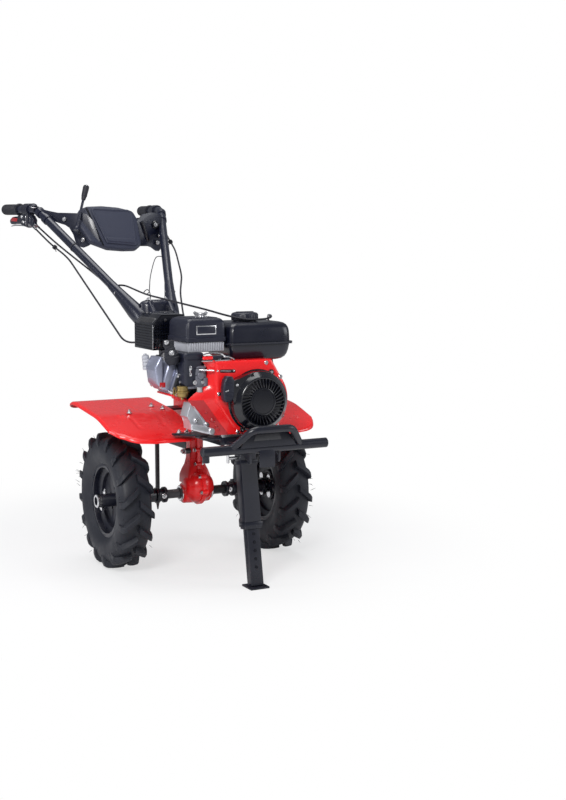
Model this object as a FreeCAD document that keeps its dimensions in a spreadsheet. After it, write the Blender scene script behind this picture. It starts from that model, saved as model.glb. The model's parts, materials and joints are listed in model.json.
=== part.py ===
"""Two-wheel walk-behind power weeder.

Millimetres. +X is the machine's left-hand side, -Y its front, +Z up. Every
piece is drawn in the machine's own frame, whose wheel axle lies at Y = 0 and
Z = axle_z. It is then moved by `axle_y`, so that the origin lies under the
middle of the box, and by `lift`, so that the tyres stand on the floor.
"""
import FreeCAD, Part
import math
import os

import Sketcher

DIMS = {
    # wheels and axle
    "wheel_r": 207.5, "axle_z": 207.5, "tyre_w": 102, "tread_w": 80, "shoulder_r": 190, "belly_r": 150,
    "tyre_wall": 12, "bead_r": 104, "bead_top_r": 115, "bead_half": 32, "track": 530,
    "rim_flange_r": 113, "rim_t": 3, "well_r": 88, "well_half": 14, "seat_in": 20, "disc_t": 5,
    "hub_flange_r": 48, "hub_flange_t": 7, "sleeve_r": 20, "sleeve_in": 100, "sleeve_over": 62,
    "hex_af": 25, "hex_in": 56, "hex_over": 57, "journal_r": 18, "journal_in": 20,
    "hub_bolt_pcd": 72, "hub_bolt_hole_r": 5.5,
    # clearances
    "fit_run": 0.05, "fit_seat": 0.3, "fit_side": 0.5,
    # gearbox
    "case_r": 51, "case_w": 82, "case_y": -20, "case_z": 229, "nose_r": 33, "column_w": 46,
    "column_d": 44, "rib_t": 8, "rib_out": 10, "upper_z": 430, "upper_h": 175, "upper_front": -70,
    "upper_rear": 60, "upper_right": -50, "upper_left": 80, "upper_round": 22,
    # engine position and block
    "base_z": 429, "crank_x": 30, "crank_h": 106, "pto_y": -153, "block_front": -345, "bell_r": 88,
    "bell_lip_r": 94, "bell_lip": 10, "foot_t": 12, "foot_half": 100, "foot_front": -330,
    "foot_rear": -180, "tilt": 18, "barrel_in": 118, "barrel_out": 210, "head_out": 228,
    "head_over": 14,
    "cyl_front": -298, "cyl_rear": -190, "cyl_half": 50, "fin_pitch": 12, "fin_t": 4, "fin_deep": 9,
    "cover_out": 266, "cowl_t": 6, "mount_t": 8, "mount_front": -345, "mount_half": 100,
    "block_out": 88, "gland_y": -226, "gland_z": 566,
    # engine covers
    "shroud_front": -372, "shroud_deep": 26, "shroud_r": 104, "shroud_h": 118, "recoil_r": 88,
    "recoil_face_r": 76, "recoil_front": -415, "recoil_step": 16, "handle_x": -64, "handle_z": 575,
    "handle_w": 22, "handle_h": 74, "handle_t": 24,
    # tank, air cleaner, muffler
    "tank_right": -35, "tank_left": 166, "tank_front": -340, "tank_rear": -150, "tank_low": 650,
    "tank_top": 752, "tank_round": 24, "seam_z": 694, "seam_t": 5, "seam_out": 6, "filler_x": 53,
    "filler_y": -250, "filler_r": 34, "filler_h": 31, "cleaner_right": -160, "cleaner_left": -45,
    "cleaner_front": -325, "cleaner_rear": -175, "cleaner_h": 72, "band_gap": 9.6765, "band_h": 24,
    "band_in": 6, "intake_right": -164, "intake_left": -116, "intake_front": -345,
    "intake_rear": -300, "carb_top": 600, "carb_low": 556, "bowl_r": 19, "bowl_h": 18,
    "muffler_right": -200, "muffler_left": -82, "muffler_front": -150, "muffler_rear": -25,
    "muffler_low": 672, "muffler_top": 770, "guard_gap": 4, "guard_t": 2,
    # fenders
    "fender_over_right": 77, "fender_over_left": 65, "fender_in_right": 85, "fender_in_left": 132,
    "fender_t": 2.5, "fender_lip": 14, "fender_top": 498, "fender_rear": 206, "fender_nose": 26,
    "fender_bend": -60, "fender_drop": 21, "fender_front": -242, "fender_low": 416, "bracket_w": 40,
    "bracket_t": 5, "tab_y": -205, "tab_w": 36,
    # bumper and parking leg
    "bumper_half": 196, "bumper_y": -487, "bumper_z": 417, "bumper_r": 14, "bumper_wall": 2,
    "stub_len": 28, "stub_r": 10, "arch_r": 9, "arch_half": 105, "arch_top": 472, "arch_flat": 55,
    "arch_y": -530, "arm_w": 30, "arm_x": 45, "arm_t": 6, "arm_rear": -300, "lean": 10,
    "leg_y": -352, "socket_w": 50, "socket_d": 40, "socket_wall": 5, "socket_len": 245,
    "leg_len": 276, "leg_foot_w": 60, "leg_foot_t": 6, "flange_t": 4,
    # hitch
    "hitch_y": 306, "hitch_low": 320, "hitch_top": 400, "hitch_w": 48, "hitch_d": 42,
    "stake_r": 7.4, "stake_low": 95, "stake_top": 445, "stake_tip": 30, "arm_low": 340,
    "arm_high": 382, "lug_len": 48, "lug_t": 20, "pin_r": 8,
    # handlebar
    "pivot_y": 225, "pivot_z": 735, "boss_r": 30, "neck_w": 50, "pivot_pin_r": 8, "cheek_t": 15,
    "yoke_front": 262, "yoke_rear": 322, "yoke_low": 725, "yoke_high": 800, "yoke_half": 60,
    "tube_r": 15, "tube_wall": 2, "tube_bend_r": 110, "low_x": 57, "low_y": 300, "low_z": 753,
    "bend_x": 235, "bend_y": 815, "bend_z": 1100, "end_x": 268, "end_y": 1085, "end_z": 1104,
    "grip_t": 3, "grip_len": 130, "panel_half": 96, "panel_wing": 29, "panel_len": 166,
    "panel_z": 1034, "panel_y": 690, "panel_t": 24, "panel_lean": 28, "plate_t": 4, "lever_x": -144,
    "lever_y": 663, "lever_low": 1030, "lever_high": 1177, "lever_to_x": 51, "lever_to_y": 36,
    "lever_r": 5, "knob_r": 11, "knob_len": 50, "pod_back": 200, "pod_half": 22, "pod_gap": 1,
    "pod_h": 46, "cable_r": 3,
    "wire_r": 1.5, "gland_r": 8, "gland_h": 12, "clutch_gland_x": -22, "clutch_gland_y": 0,
    "shift_gland_x": 20, "shift_gland_y": 30,
}

DERIVED = {
    "axle_y": "-(end_y + 3 + arch_y - arch_r) / 2",
    "lift": "wheel_r - axle_z",
    "sleeve_out": "track / 2 + sleeve_over",
    "hex_out": "track / 2 + hex_over",
    "fender_out_right": "track / 2 + fender_over_right",
    "fender_out_left": "track / 2 + fender_over_left",
    "crank_z": "base_z + crank_h",
    "band_low": "crank_z + head_out * sin(tilt) + (cyl_half + head_over) * cos(tilt) + band_gap",
    "cleaner_low": "band_low + band_h",
    "cleaner_top": "cleaner_low + cleaner_h",
    "port_low_x": "crank_x - barrel_in * cos(tilt) - cyl_half * sin(tilt)",
    "port_low_z": "crank_z + barrel_in * sin(tilt) - cyl_half * cos(tilt)",
    "port_high_x": "crank_x - barrel_in * cos(tilt) + cyl_half * sin(tilt)",
    "port_high_z": "crank_z + barrel_in * sin(tilt) + cyl_half * cos(tilt)",
}


class Q:
    """A length known both as a sheet expression and as a number."""

    def __init__(self, text, value):
        self.text = text
        self.value = value

    def __float__(self):
        return float(self.value)

    def __add__(self, other):
        return join(self, other, "+", float(self) + float(other))

    def __radd__(self, other):
        return join(other, self, "+", float(self) + float(other))

    def __sub__(self, other):
        return join(self, other, "-", float(self) - float(other))

    def __rsub__(self, other):
        return join(other, self, "-", float(other) - float(self))

    def __mul__(self, other):
        return join(self, other, "*", float(self) * float(other))

    def __rmul__(self, other):
        return join(other, self, "*", float(self) * float(other))

    def __truediv__(self, other):
        return join(self, other, "/", float(self) / float(other))

    def __neg__(self):
        return join(-1, self, "*", -float(self))


def text_of(q):
    return q.text if isinstance(q, Q) else "(%r)" % float(q)


def join(a, b, sign, value):
    return Q("(%s %s %s)" % (text_of(a), sign, text_of(b)), value)


class Dims:
    """The sheet's aliases as attributes."""

    def __init__(self, sheet):
        for alias in list(DIMS) + list(DERIVED):
            setattr(self, alias, Q("Dims." + alias, float(getattr(sheet, alias))))


doc = FreeCAD.newDocument("power_weeder")


def make_sheet():
    sheet = doc.addObject("Spreadsheet::Sheet", "Dims")
    rows = [(alias, "%g" % value) for alias, value in DIMS.items()]
    rows += [(alias, "=" + formula) for alias, formula in DERIVED.items()]
    for row, (alias, content) in enumerate(rows, start=1):
        sheet.set("A%d" % row, alias)
        sheet.set("B%d" % row, content)
        sheet.setAlias("B%d" % row, alias)
    doc.recompute()
    return sheet


D = Dims(make_sheet())
NODES = []


# ---------------------------------------------------------------- helpers
def vec(x, y, z):
    return FreeCAD.Vector(float(x), float(y), float(z))


def bind(obj, prop, q):
    if isinstance(q, Q):
        obj.setExpression(prop, q.text)
    else:
        obj.setExpression(prop, "%r" % float(q))


def place(obj, x=0, y=0, z=0, turn_axis=None, turn=0):
    """Bind the placement of something drawn in the machine's frame."""
    if turn_axis is not None:
        obj.Placement = FreeCAD.Placement(vec(0, 0, 0), FreeCAD.Rotation(vec(*turn_axis), float(turn)))
        bind(obj, "Placement.Rotation.Angle", turn)
    bind(obj, "Placement.Base.x", x)
    bind(obj, "Placement.Base.y", D.axle_y + y)
    bind(obj, "Placement.Base.z", D.lift + z)


def body(label, **where):
    made = doc.addObject("PartDesign::Body", label)
    made.Label = label
    place(made, **where)
    NODES.append(made)
    return made


def origin(of, role):
    return next(f for f in of.Origin.OriginFeatures if f.Role == role)


PLANES = {"x": "YZ_Plane", "y": "XZ_Plane", "z": "XY_Plane"}
AXES = {"x": "X_Axis", "y": "Y_Axis", "z": "Z_Axis"}


def sketch_on(of, name, axis, height):
    """Sketch across `axis`; its coordinates are the two other machine axes."""
    made = of.newObject("Sketcher::SketchObject", name)
    made.AttachmentSupport = [(origin(of, PLANES[axis]), "")]
    made.MapMode = "FlatFace"
    bind(made, "AttachmentOffset.Base.z", -height if axis == "y" else height)
    return made


def dimension(sketch, kind, edge, point, q):
    index = sketch.addConstraint(Sketcher.Constraint(kind, -1, 1, edge, point, float(q)))
    if isinstance(q, Q):
        sketch.setExpression("Constraints[%d]" % index, q.text)


def outline(sketch, points):
    first = sketch.GeometryCount
    corners = [vec(x, y, 0) for x, y in points]
    count = len(points)
    for i in range(count):
        sketch.addGeometry(Part.LineSegment(corners[i], corners[(i + 1) % count]), False)
    for i in range(count):
        following = first + (i + 1) % count
        sketch.addConstraint(Sketcher.Constraint("Coincident", first + i, 2, following, 1))
    for i, (x, y) in enumerate(points):
        dimension(sketch, "DistanceX", first + i, 1, x)
        dimension(sketch, "DistanceY", first + i, 1, y)


def circle(sketch, x, y, radius):
    index = sketch.addGeometry(Part.Circle(vec(x, y, 0), vec(0, 0, 1), float(radius)), False)
    dimension(sketch, "DistanceX", index, 3, x)
    dimension(sketch, "DistanceY", index, 3, y)
    held = sketch.addConstraint(Sketcher.Constraint("Radius", index, float(radius)))
    if isinstance(radius, Q):
        sketch.setExpression("Constraints[%d]" % held, radius.text)


def rect(x_low, x_high, y_low, y_high):
    return [(x_low, y_low), (x_high, y_low), (x_high, y_high), (x_low, y_high)]


def draw(sketch, profile):
    if len(profile) == 3 and not isinstance(profile[0], tuple):
        circle(sketch, *profile)
    else:
        outline(sketch, profile)


def pad(of, name, axis, low, high, profile):
    """Add the profile between two heights on `axis`."""
    sketch = sketch_on(of, name + "_sketch", axis, high if axis == "y" else low)
    draw(sketch, profile)
    made = of.newObject("PartDesign::Pad", name)
    made.Profile = sketch
    bind(made, "Length", high - low)
    doc.recompute()
    return made


def pocket(of, name, axis, low, high, profile):
    """Cut the profile between two heights on `axis`."""
    before = of.Tip.Shape.Volume
    sketch = sketch_on(of, name + "_sketch", axis, low if axis == "y" else high)
    draw(sketch, profile)
    made = of.newObject("PartDesign::Pocket", name)
    made.Profile = sketch
    bind(made, "Length", high - low)
    doc.recompute()
    if made.Shape.Volume > before - 1:
        raise RuntimeError("%s cuts nothing" % name)
    return made


def between(of, name, axis, low, low_profile, high, high_profile):
    """Ruled solid between two outlines with the same number of corners."""
    sketches = []
    for end, height, profile in (("low", low, low_profile), ("high", high, high_profile)):
        sketch = sketch_on(of, "%s_%s_sketch" % (name, end), axis, height)
        outline(sketch, profile)
        sketches.append(sketch)
    made = of.newObject("PartDesign::AdditiveLoft", name)
    made.Profile = sketches[0]
    made.Sections = [sketches[1]]
    made.Ruled = True
    doc.recompute()
    return made


def turned(of, name, axis, profile):
    """Revolve (distance along axis, radius) points about the body's axis."""
    flat = "x" if axis == "y" else "y"
    sketch = sketch_on(of, name + "_sketch", flat, 0)
    if axis == "z":
        profile = [(radius, along) for along, radius in profile]
    outline(sketch, profile)
    made = of.newObject("PartDesign::Revolution", name)
    made.Profile = sketch
    made.ReferenceAxis = (origin(of, AXES[axis]), [""])
    made.Angle = 360
    doc.recompute()
    return made


def around(of, name, feature, axis, count):
    made = of.newObject("PartDesign::PolarPattern", name)
    made.Originals = [feature]
    made.Axis = (origin(of, AXES[axis]), [""])
    made.Angle = 360
    made.Occurrences = count
    of.Tip = made
    doc.recompute()
    return made


def soften(of, name, radius, test, kind="Fillet"):
    """Round or bevel the tip's edges whose end points pass the test."""
    base = of.Tip
    names = []
    for number, edge in enumerate(base.Shape.Edges, start=1):
        if len(edge.Vertexes) == 2 and test(edge.Vertexes[0].Point, edge.Vertexes[1].Point):
            names.append("Edge%d" % number)
    made = of.newObject("PartDesign::" + kind, name)
    made.Base = (base, names)
    bind(made, "Radius" if kind == "Fillet" else "Size", radius)
    doc.recompute()
    return made


def upright(a, b):
    return abs(a.x - b.x) < 1e-6 and abs(a.y - b.y) < 1e-6


def along_y(a, b):
    return abs(a.x - b.x) < 1e-6 and abs(a.z - b.z) < 1e-6


def along_x(a, b):
    return abs(a.y - b.y) < 1e-6 and abs(a.z - b.z) < 1e-6


def level(height):
    return lambda a, b: abs(a.z - float(height)) < 1e-4 and abs(b.z - float(height)) < 1e-4


def free_shape(label, shape):
    made = doc.addObject("Part::Feature", label)
    made.Label = label
    made.Shape = shape
    place(made)
    NODES.append(made)
    return made


def block(x_low, x_high, y_low, y_high, z_low, z_high):
    low = vec(x_low, y_low, z_low)
    size = vec(x_high, y_high, z_high) - low
    return Part.makeBox(size.x, size.y, size.z, low)


def rod(start, end, radius):
    return Part.makeCylinder(float(radius), (end - start).Length, start, end - start)


def route(points, radius):
    """Straight runs joined by tangent arcs; radius is cut back on short runs."""
    edges = []
    here = points[0]
    for i in range(1, len(points) - 1):
        before = (points[i] - points[i - 1])
        after = (points[i + 1] - points[i])
        half_turn = before.getAngle(after) / 2
        limit = 0.45 * min(before.Length, after.Length) / math.tan(half_turn)
        arc_r = min(radius, limit)
        back = arc_r * math.tan(half_turn)
        before.normalize()
        after.normalize()
        start = points[i] - before * back
        end = points[i] + after * back
        inward = (after - before).normalize()
        centre = points[i] + inward * (arc_r / math.cos(half_turn))
        middle = centre - inward * arc_r
        edges.append(Part.LineSegment(here, start).toShape())
        edges.append(Part.Arc(start, middle, end).toShape())
        here = end
    edges.append(Part.LineSegment(here, points[-1]).toShape())
    return Part.Wire(edges)


def swept(points, radius, bend, wall=0):
    """Round bar or tube along a route."""
    wire = route(points, float(bend))
    start = points[0]
    heading = points[1] - points[0]

    def run(size):
        ring = Part.Wire([Part.makeCircle(size, start, heading)])
        return wire.makePipeShell([ring], True, False)

    outer = run(float(radius))
    expected = math.pi * float(radius) ** 2 * wire.Length
    if abs(outer.Volume - expected) > 0.01 * expected:
        raise RuntimeError("swept bar has the wrong volume at %s" % start)
    if wall:
        return outer.cut(run(float(radius) - float(wall)))
    return outer


# ---------------------------------------------------------------- wheels
def wheel(side, s):
    """Tyre, rim, hub and half axle; s is -1 at -X and +1 at +X."""
    middle = {"x": D.track * (s / 2), "z": D.axle_z}
    tyre = body(side + "_tyre", **middle)
    outer = [(D.bead_half, D.bead_r), (D.bead_half, D.bead_top_r), (D.tyre_w / 2, D.belly_r),
             (D.tyre_w / 2 - 3, D.shoulder_r), (D.tread_w / 2, D.wheel_r)]
    inner = [(D.tread_w / 2 - 4, D.shoulder_r - 2), (D.tyre_w / 2 - D.tyre_wall, D.belly_r),
             (D.bead_half - 10, D.bead_r)]
    loop = outer + [(-x, r) for x, r in reversed(outer)] + [(-x, r) for x, r in reversed(inner)] + inner
    turned(tyre, side + "_casing", "x", loop)

    rim = body(side + "_rim", **middle)
    face = D.bead_half + D.fit_seat
    seat = D.bead_r - D.fit_seat
    out = [(face + D.rim_t, D.rim_flange_r), (face, D.rim_flange_r), (face, seat), (D.seat_in, seat),
           (D.well_half, D.well_r)]
    back = [(face + D.rim_t, seat - D.rim_t), (D.seat_in - 2, seat - D.rim_t),
            (D.well_half - 1, D.well_r - D.rim_t), (D.disc_t / 2, D.well_r - D.rim_t),
            (D.disc_t / 2, D.sleeve_r + D.fit_seat)]
    loop = out + [(-x, r) for x, r in reversed(out)] + [(-x, r) for x, r in back] + list(reversed(back))
    turned(rim, side + "_rim_roll", "x", loop)
    hub_holes(rim, side + "_rim")

    hub = body(side + "_hub", **middle)
    flange_in = -D.disc_t / 2 - D.hub_flange_t
    near = D.sleeve_in - D.track / 2
    far = D.sleeve_out - D.track / 2
    profile = [(near, 0), (near, D.sleeve_r), (flange_in, D.sleeve_r), (flange_in, D.hub_flange_r),
               (-D.disc_t / 2, D.hub_flange_r), (-D.disc_t / 2, D.sleeve_r), (far, D.sleeve_r), (far, 0)]
    turned(hub, side + "_sleeve", "x", [(s * x, r) for x, r in profile])
    low, high = sorted((s * near, s * far), key=float)
    pocket(hub, side + "_hex_hole", "x", low - 1, high + 1, hexagon(D.hex_af + 2 * D.fit_run))
    hub_holes(hub, side + "_hub")

    axle = body(side + "_axle", z=D.axle_z)
    low, high = sorted((s * D.hex_in, s * D.hex_out), key=float)
    pad(axle, side + "_hex_bar", "x", low, high, hexagon(D.hex_af))
    low, high = sorted((s * D.journal_in, s * D.hex_in), key=float)
    pad(axle, side + "_journal", "x", low, high, (0, 0, D.journal_r))


def hub_holes(of, name):
    reach = D.disc_t + D.hub_flange_t
    hole = pocket(of, name + "_hole", "x", -reach, reach, (0, D.hub_bolt_pcd / 2, D.hub_bolt_hole_r))
    around(of, name + "_holes", hole, "x", 5)


def hexagon(flats):
    point = 1 / math.sqrt(3)
    return [(0, flats * point), (-flats / 2, flats * (point / 2)), (-flats / 2, -flats * (point / 2)),
            (0, -flats * point), (flats / 2, -flats * (point / 2)), (flats / 2, flats * (point / 2))]


# ---------------------------------------------------------------- gearbox
def gearbox():
    case = body("gearbox_housing")
    half = D.case_w / 2
    pad(case, "axle_case", "x", -half, half, (D.case_y, D.case_z, D.case_r))
    pad(case, "axle_nose", "x", -half - 4, half + 4, (0, D.axle_z, D.nose_r))
    pad(case, "column", "z", D.axle_z, D.upper_z,
        rect(-D.column_w / 2, D.column_w / 2, -D.column_d / 2, D.column_d / 2))
    pad(case, "split_rib", "x", -D.rib_t / 2, D.rib_t / 2,
        rect(-D.column_d / 2 - D.rib_out, D.column_d / 2, D.axle_z, D.upper_z))
    pad(case, "upper_case", "y", D.upper_front, D.upper_rear,
        rect(D.upper_right, D.upper_left, D.upper_z - 10, D.upper_z + D.upper_h))
    soften(case, "upper_rounds", D.upper_round,
           lambda a, b: along_y(a, b) and a.z > float(D.upper_z) + 50)
    top = D.upper_z + D.upper_h
    pad(case, "clutch_gland", "z", top - 1, top + D.gland_h,
        (D.clutch_gland_x, D.clutch_gland_y, D.gland_r))
    pad(case, "shift_gland", "z", top - 1, top + D.gland_h,
        (D.shift_gland_x, D.shift_gland_y, D.gland_r))
    pocket(case, "axle_bore", "x", -D.case_w, D.case_w, (0, D.axle_z, D.journal_r + D.fit_run))

    bell = body("clutch_housing", x=D.crank_x, z=D.crank_z)
    front = D.pto_y
    profile = [(front, 0), (front, D.bell_lip_r), (front + D.bell_lip, D.bell_lip_r),
               (front + D.bell_lip, D.bell_r), (D.upper_front, D.bell_r - 22), (D.upper_front, 0)]
    turned(bell, "bell", "y", profile)

    plate = body("engine_mount")
    pad(plate, "mount_plate", "z", D.base_z - D.mount_t, D.base_z,
        rect(D.crank_x - D.mount_half, D.crank_x + D.mount_half, D.mount_front, D.upper_front))


# ---------------------------------------------------------------- engine
def engine():
    block_body = body("crankcase")
    x = D.crank_x
    side = x + D.block_out
    outline_xz = [(x - 98, D.base_z), (D.port_low_x, D.port_low_z), (D.port_high_x, D.port_high_z),
                  (side - 22, D.port_high_z), (side, D.crank_z + 50), (side, D.base_z)]
    pad(block_body, "block", "y", D.block_front, D.pto_y, outline_xz)
    pad(block_body, "cable_gland", "x", side - 1, side + 10, (D.gland_y, D.gland_z, D.gland_r))
    pad(block_body, "foot", "z", D.base_z, D.base_z + D.foot_t,
        rect(x - D.foot_half, x + D.foot_half, D.foot_front, D.foot_rear))

    tilted = {"x": D.crank_x, "z": D.crank_z, "turn_axis": (0, 1, 0), "turn": D.tilt}
    barrel = body("cylinder", **tilted)
    half = D.cyl_half
    deep = D.fin_deep
    pad(barrel, "barrel_core", "x", -D.barrel_out, -D.barrel_in,
        rect(D.cyl_front + deep, D.cyl_rear - deep, -half + deep, half - deep))
    pad(barrel, "head", "x", -D.head_out, -D.barrel_out,
        rect(D.cyl_front, D.cyl_rear, -half, half + D.head_over))
    fin = pad(barrel, "fin", "x", -D.barrel_in - D.fin_t, -D.barrel_in,
              rect(D.cyl_front, D.cyl_rear, -half, half))
    fins = barrel.newObject("PartDesign::LinearPattern", "fins")
    fins.Originals = [fin]
    fins.Direction = (origin(barrel, "X_Axis"), [""])
    fins.Reversed = True
    fins.Occurrences = 5
    bind(fins, "Length", D.fin_pitch * 4)
    barrel.Tip = fins
    doc.recompute()

    cover = body("valve_cover", **tilted)
    pad(cover, "cover_box", "x", -D.cover_out, -D.head_out,
        rect(D.cyl_front + 5, D.cyl_rear - 24, -half + 2, half - 4))
    soften(cover, "cover_rounds", 10, lambda a, b: abs(a.x - b.x) > 20)
    soften(cover, "cover_edge", 5,
           lambda a, b: a.x < -float(D.cover_out) + 0.01 and b.x < -float(D.cover_out) + 0.01)

    cowl = body("cylinder_cowl", **tilted)
    pad(cowl, "cowl_sheet", "x", -D.head_out, -D.barrel_in,
        rect(D.cyl_front, D.cyl_rear, -half - D.cowl_t, -half))

    plug = body("spark_plug", **tilted)
    pad(plug, "plug_shell", "x", -D.cover_out, -D.head_out, (D.cyl_rear - 12, 30, 8))
    pad(plug, "plug_cap", "x", -D.cover_out - 50, -D.cover_out, (D.cyl_rear - 12, 30, 10.5))


def engine_covers():
    x = D.crank_x
    z = D.crank_z
    shroud = body("fan_shroud")
    front = D.shroud_front
    rear = D.shroud_front + D.shroud_deep
    top = z + D.shroud_h
    face = [(x - 53, z - 95), (x - 86, z - 56), (x - 128, z + 7), (x - 128, top), (x + 50, top),
            (x + 84, z + 61)]
    back = [(x - 74, z - 95), (x - 130, z - 46), (x - 184, z + 1), (x - 155, top), (x + 50, top),
            (x + 84, z + 61)]
    between(shroud, "shroud_side", "y", front, face, rear, back)
    pad(shroud, "fan_ring", "y", front, rear, (x, z, D.shroud_r))

    recoil = body("recoil_starter", x=D.crank_x, z=D.crank_z)
    gone = D.recoil_front
    profile = [(front, 0), (front, D.recoil_r), (gone + D.recoil_step, D.recoil_r),
               (gone, D.recoil_face_r), (gone, 60), (gone + 3, 60), (gone + 3, 36), (gone, 36), (gone, 0)]
    turned(recoil, "recoil_drum", "y", profile)
    reach = D.handle_h / 2 + 3
    offset_x = D.handle_x - D.crank_x
    offset_z = D.handle_z - D.crank_z
    guide = offset_x + D.handle_w / 2 + 3
    pad(recoil, "pull_guide", "y", gone + D.recoil_step, front,
        rect(guide, guide + 36, offset_z - 20, offset_z + 20))
    pocket(recoil, "handle_recess", "y", gone - 1, gone + 14 + D.handle_t,
           rect(offset_x - 30, guide, offset_z - reach, offset_z + reach))

    grip = body("recoil_handle")
    edge = D.handle_x + D.handle_w / 2
    pad(grip, "pull_grip", "y", D.recoil_front + 12, D.recoil_front + 12 + D.handle_t,
        rect(D.handle_x - D.handle_w / 2, edge, D.handle_z - D.handle_h / 2, D.handle_z + D.handle_h / 2))
    soften(grip, "grip_rounds", 6, along_y)
    pad(grip, "pull_neck", "y", D.recoil_front + 16, D.recoil_front + 32,
        rect(edge - 2, edge + 3, D.handle_z - 7, D.handle_z + 7))

    control = body("throttle_control")
    pad(control, "control_plate", "z", top, top + 11, rect(x - 144, x - 75, -365, -312))


def tank_and_cleaner():
    tank = body("fuel_tank")
    pad(tank, "tank_shell", "z", D.tank_low, D.tank_top,
        rect(D.tank_right, D.tank_left, D.tank_front, D.tank_rear))
    soften(tank, "tank_corners", D.tank_round, upright)
    soften(tank, "tank_top_edge", D.tank_round - 6, level(D.tank_top))
    soften(tank, "tank_low_edge", D.tank_round - 10, level(D.tank_low))
    out = D.seam_out
    pad(tank, "seam", "z", D.seam_z, D.seam_z + D.seam_t,
        rect(D.tank_right - out, D.tank_left + out, D.tank_front - out, D.tank_rear + out))
    soften(tank, "seam_corners", D.tank_round + 4,
           lambda a, b: upright(a, b) and abs(abs(a.z - b.z) - float(D.seam_t)) < 0.01)

    for name, right in (("right_foot", D.tank_right + 34), ("left_foot", D.tank_left - 104)):
        pad(tank, name, "z", D.port_high_z, D.tank_low + D.tank_round,
            rect(right, right + 24, D.tank_rear - 72, D.tank_rear - 40))

    cap = body("fuel_cap", x=D.filler_x, y=D.filler_y, z=D.tank_top)
    turned(cap, "cap_disc", "z", [(0, 0), (0, D.filler_r - 6), (8, D.filler_r - 6), (8, D.filler_r),
                                  (D.filler_h - 4, D.filler_r), (D.filler_h, D.filler_r - 4),
                                  (D.filler_h, 0)])

    cover = body("air_cleaner_cover")
    pad(cover, "cleaner_box", "z", D.cleaner_low, D.cleaner_top,
        rect(D.cleaner_right, D.cleaner_left, D.cleaner_front, D.cleaner_rear))
    soften(cover, "cleaner_corners", 14, upright)
    soften(cover, "cleaner_top_edge", 9, level(D.cleaner_top))
    wing = ((D.cleaner_right + D.cleaner_left) / 2 + 28, (D.cleaner_front + D.cleaner_rear) / 2, 9)
    pad(cover, "cover_nut", "z", D.cleaner_top, D.cleaner_top + 12, wing)

    band = body("air_cleaner_base")
    inside = D.band_in
    pad(band, "band", "z", D.band_low, D.cleaner_low,
        rect(D.cleaner_right + inside, D.cleaner_left - inside, D.cleaner_front + inside,
             D.cleaner_rear - inside))
    soften(band, "band_corners", 10, upright)

    intake = body("intake_body")
    pad(intake, "intake_box", "z", D.carb_top, D.band_low,
        rect(D.intake_right, D.intake_left, D.intake_front, D.intake_rear))
    soften(intake, "intake_corners", 8, upright)

    carburetor = body("carburetor")
    pad(carburetor, "carb_block", "z", D.carb_low, D.carb_top,
        rect(D.intake_right + 6, D.intake_left - 4, D.intake_front, D.cyl_front))
    middle = ((D.intake_right + D.intake_left) / 2, (D.intake_front + D.intake_rear) / 2)
    pad(carburetor, "bowl", "z", D.carb_low - D.bowl_h, D.carb_low, middle + (D.bowl_r,))


def exhaust():
    muffler = body("muffler")
    pad(muffler, "muffler_box", "z", D.muffler_low, D.muffler_top,
        rect(D.muffler_right, D.muffler_left, D.muffler_front, D.muffler_rear))
    soften(muffler, "muffler_corners", 16, along_y)
    pad(muffler, "exhaust_elbow", "y", D.cyl_rear, D.muffler_front + 30,
        rect(-172, -138, 590, 640))
    pad(muffler, "exhaust_riser", "z", 630, D.muffler_low + 10,
        rect(-172, -138, D.muffler_front + 4, D.muffler_front + 30))

    guard = body("muffler_guard")
    gap = D.guard_gap
    skin = D.guard_gap + D.guard_t
    pad(guard, "guard_box", "y", D.muffler_front - skin, D.muffler_rear,
        rect(D.muffler_right - skin, D.muffler_left + skin, D.muffler_low, D.muffler_top + skin))
    soften(guard, "guard_rounds", 20, lambda a, b: along_y(a, b) and a.z > float(D.muffler_top))
    right, left, top = D.muffler_right - gap, D.muffler_left + gap, D.muffler_top + gap
    cut = 10
    pocket(guard, "guard_inside", "y", D.muffler_front - gap, D.muffler_rear + 1,
           [(right, D.muffler_low - 1), (left, D.muffler_low - 1), (left, top - cut),
            (left - cut, top), (right + cut, top), (right, top - cut)])
    pad(guard, "guard_spacer", "z", D.muffler_top, top + 1,
        rect(right + 50, right + 70, D.muffler_front + 40, D.muffler_front + 60))
    pocket(guard, "elbow_notch", "y", D.muffler_front - skin - 1, D.muffler_front,
           rect(-176, -134, D.muffler_low - 1, D.muffler_low + 14))


# ---------------------------------------------------------------- fenders
def fender_line():
    """Side view of the sheet's top face, from the rear nose to the front lip."""
    rear, bend, front = D.fender_rear, D.fender_bend, D.fender_front
    top, low = D.fender_top, D.fender_low
    bent = top - D.fender_drop
    return [(rear, top - D.fender_nose), (rear - 14, top - 8), (rear - 56, top), (bend, bent),
            (bend - 52, bent - 14), (front + 40, low + 20), (front, low)]


def under_fender(y):
    """Height of the sheet's bottom face at one distance from the axle."""
    line = [(float(a), float(z)) for a, z in fender_line()]
    for (rear, high), (front, low) in zip(line, line[1:]):
        if front <= y <= rear:
            share = (y - front) / (rear - front)
            return low + share * (high - low) - float(D.fender_t) * 1.15
    raise ValueError("outside the fender")


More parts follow.
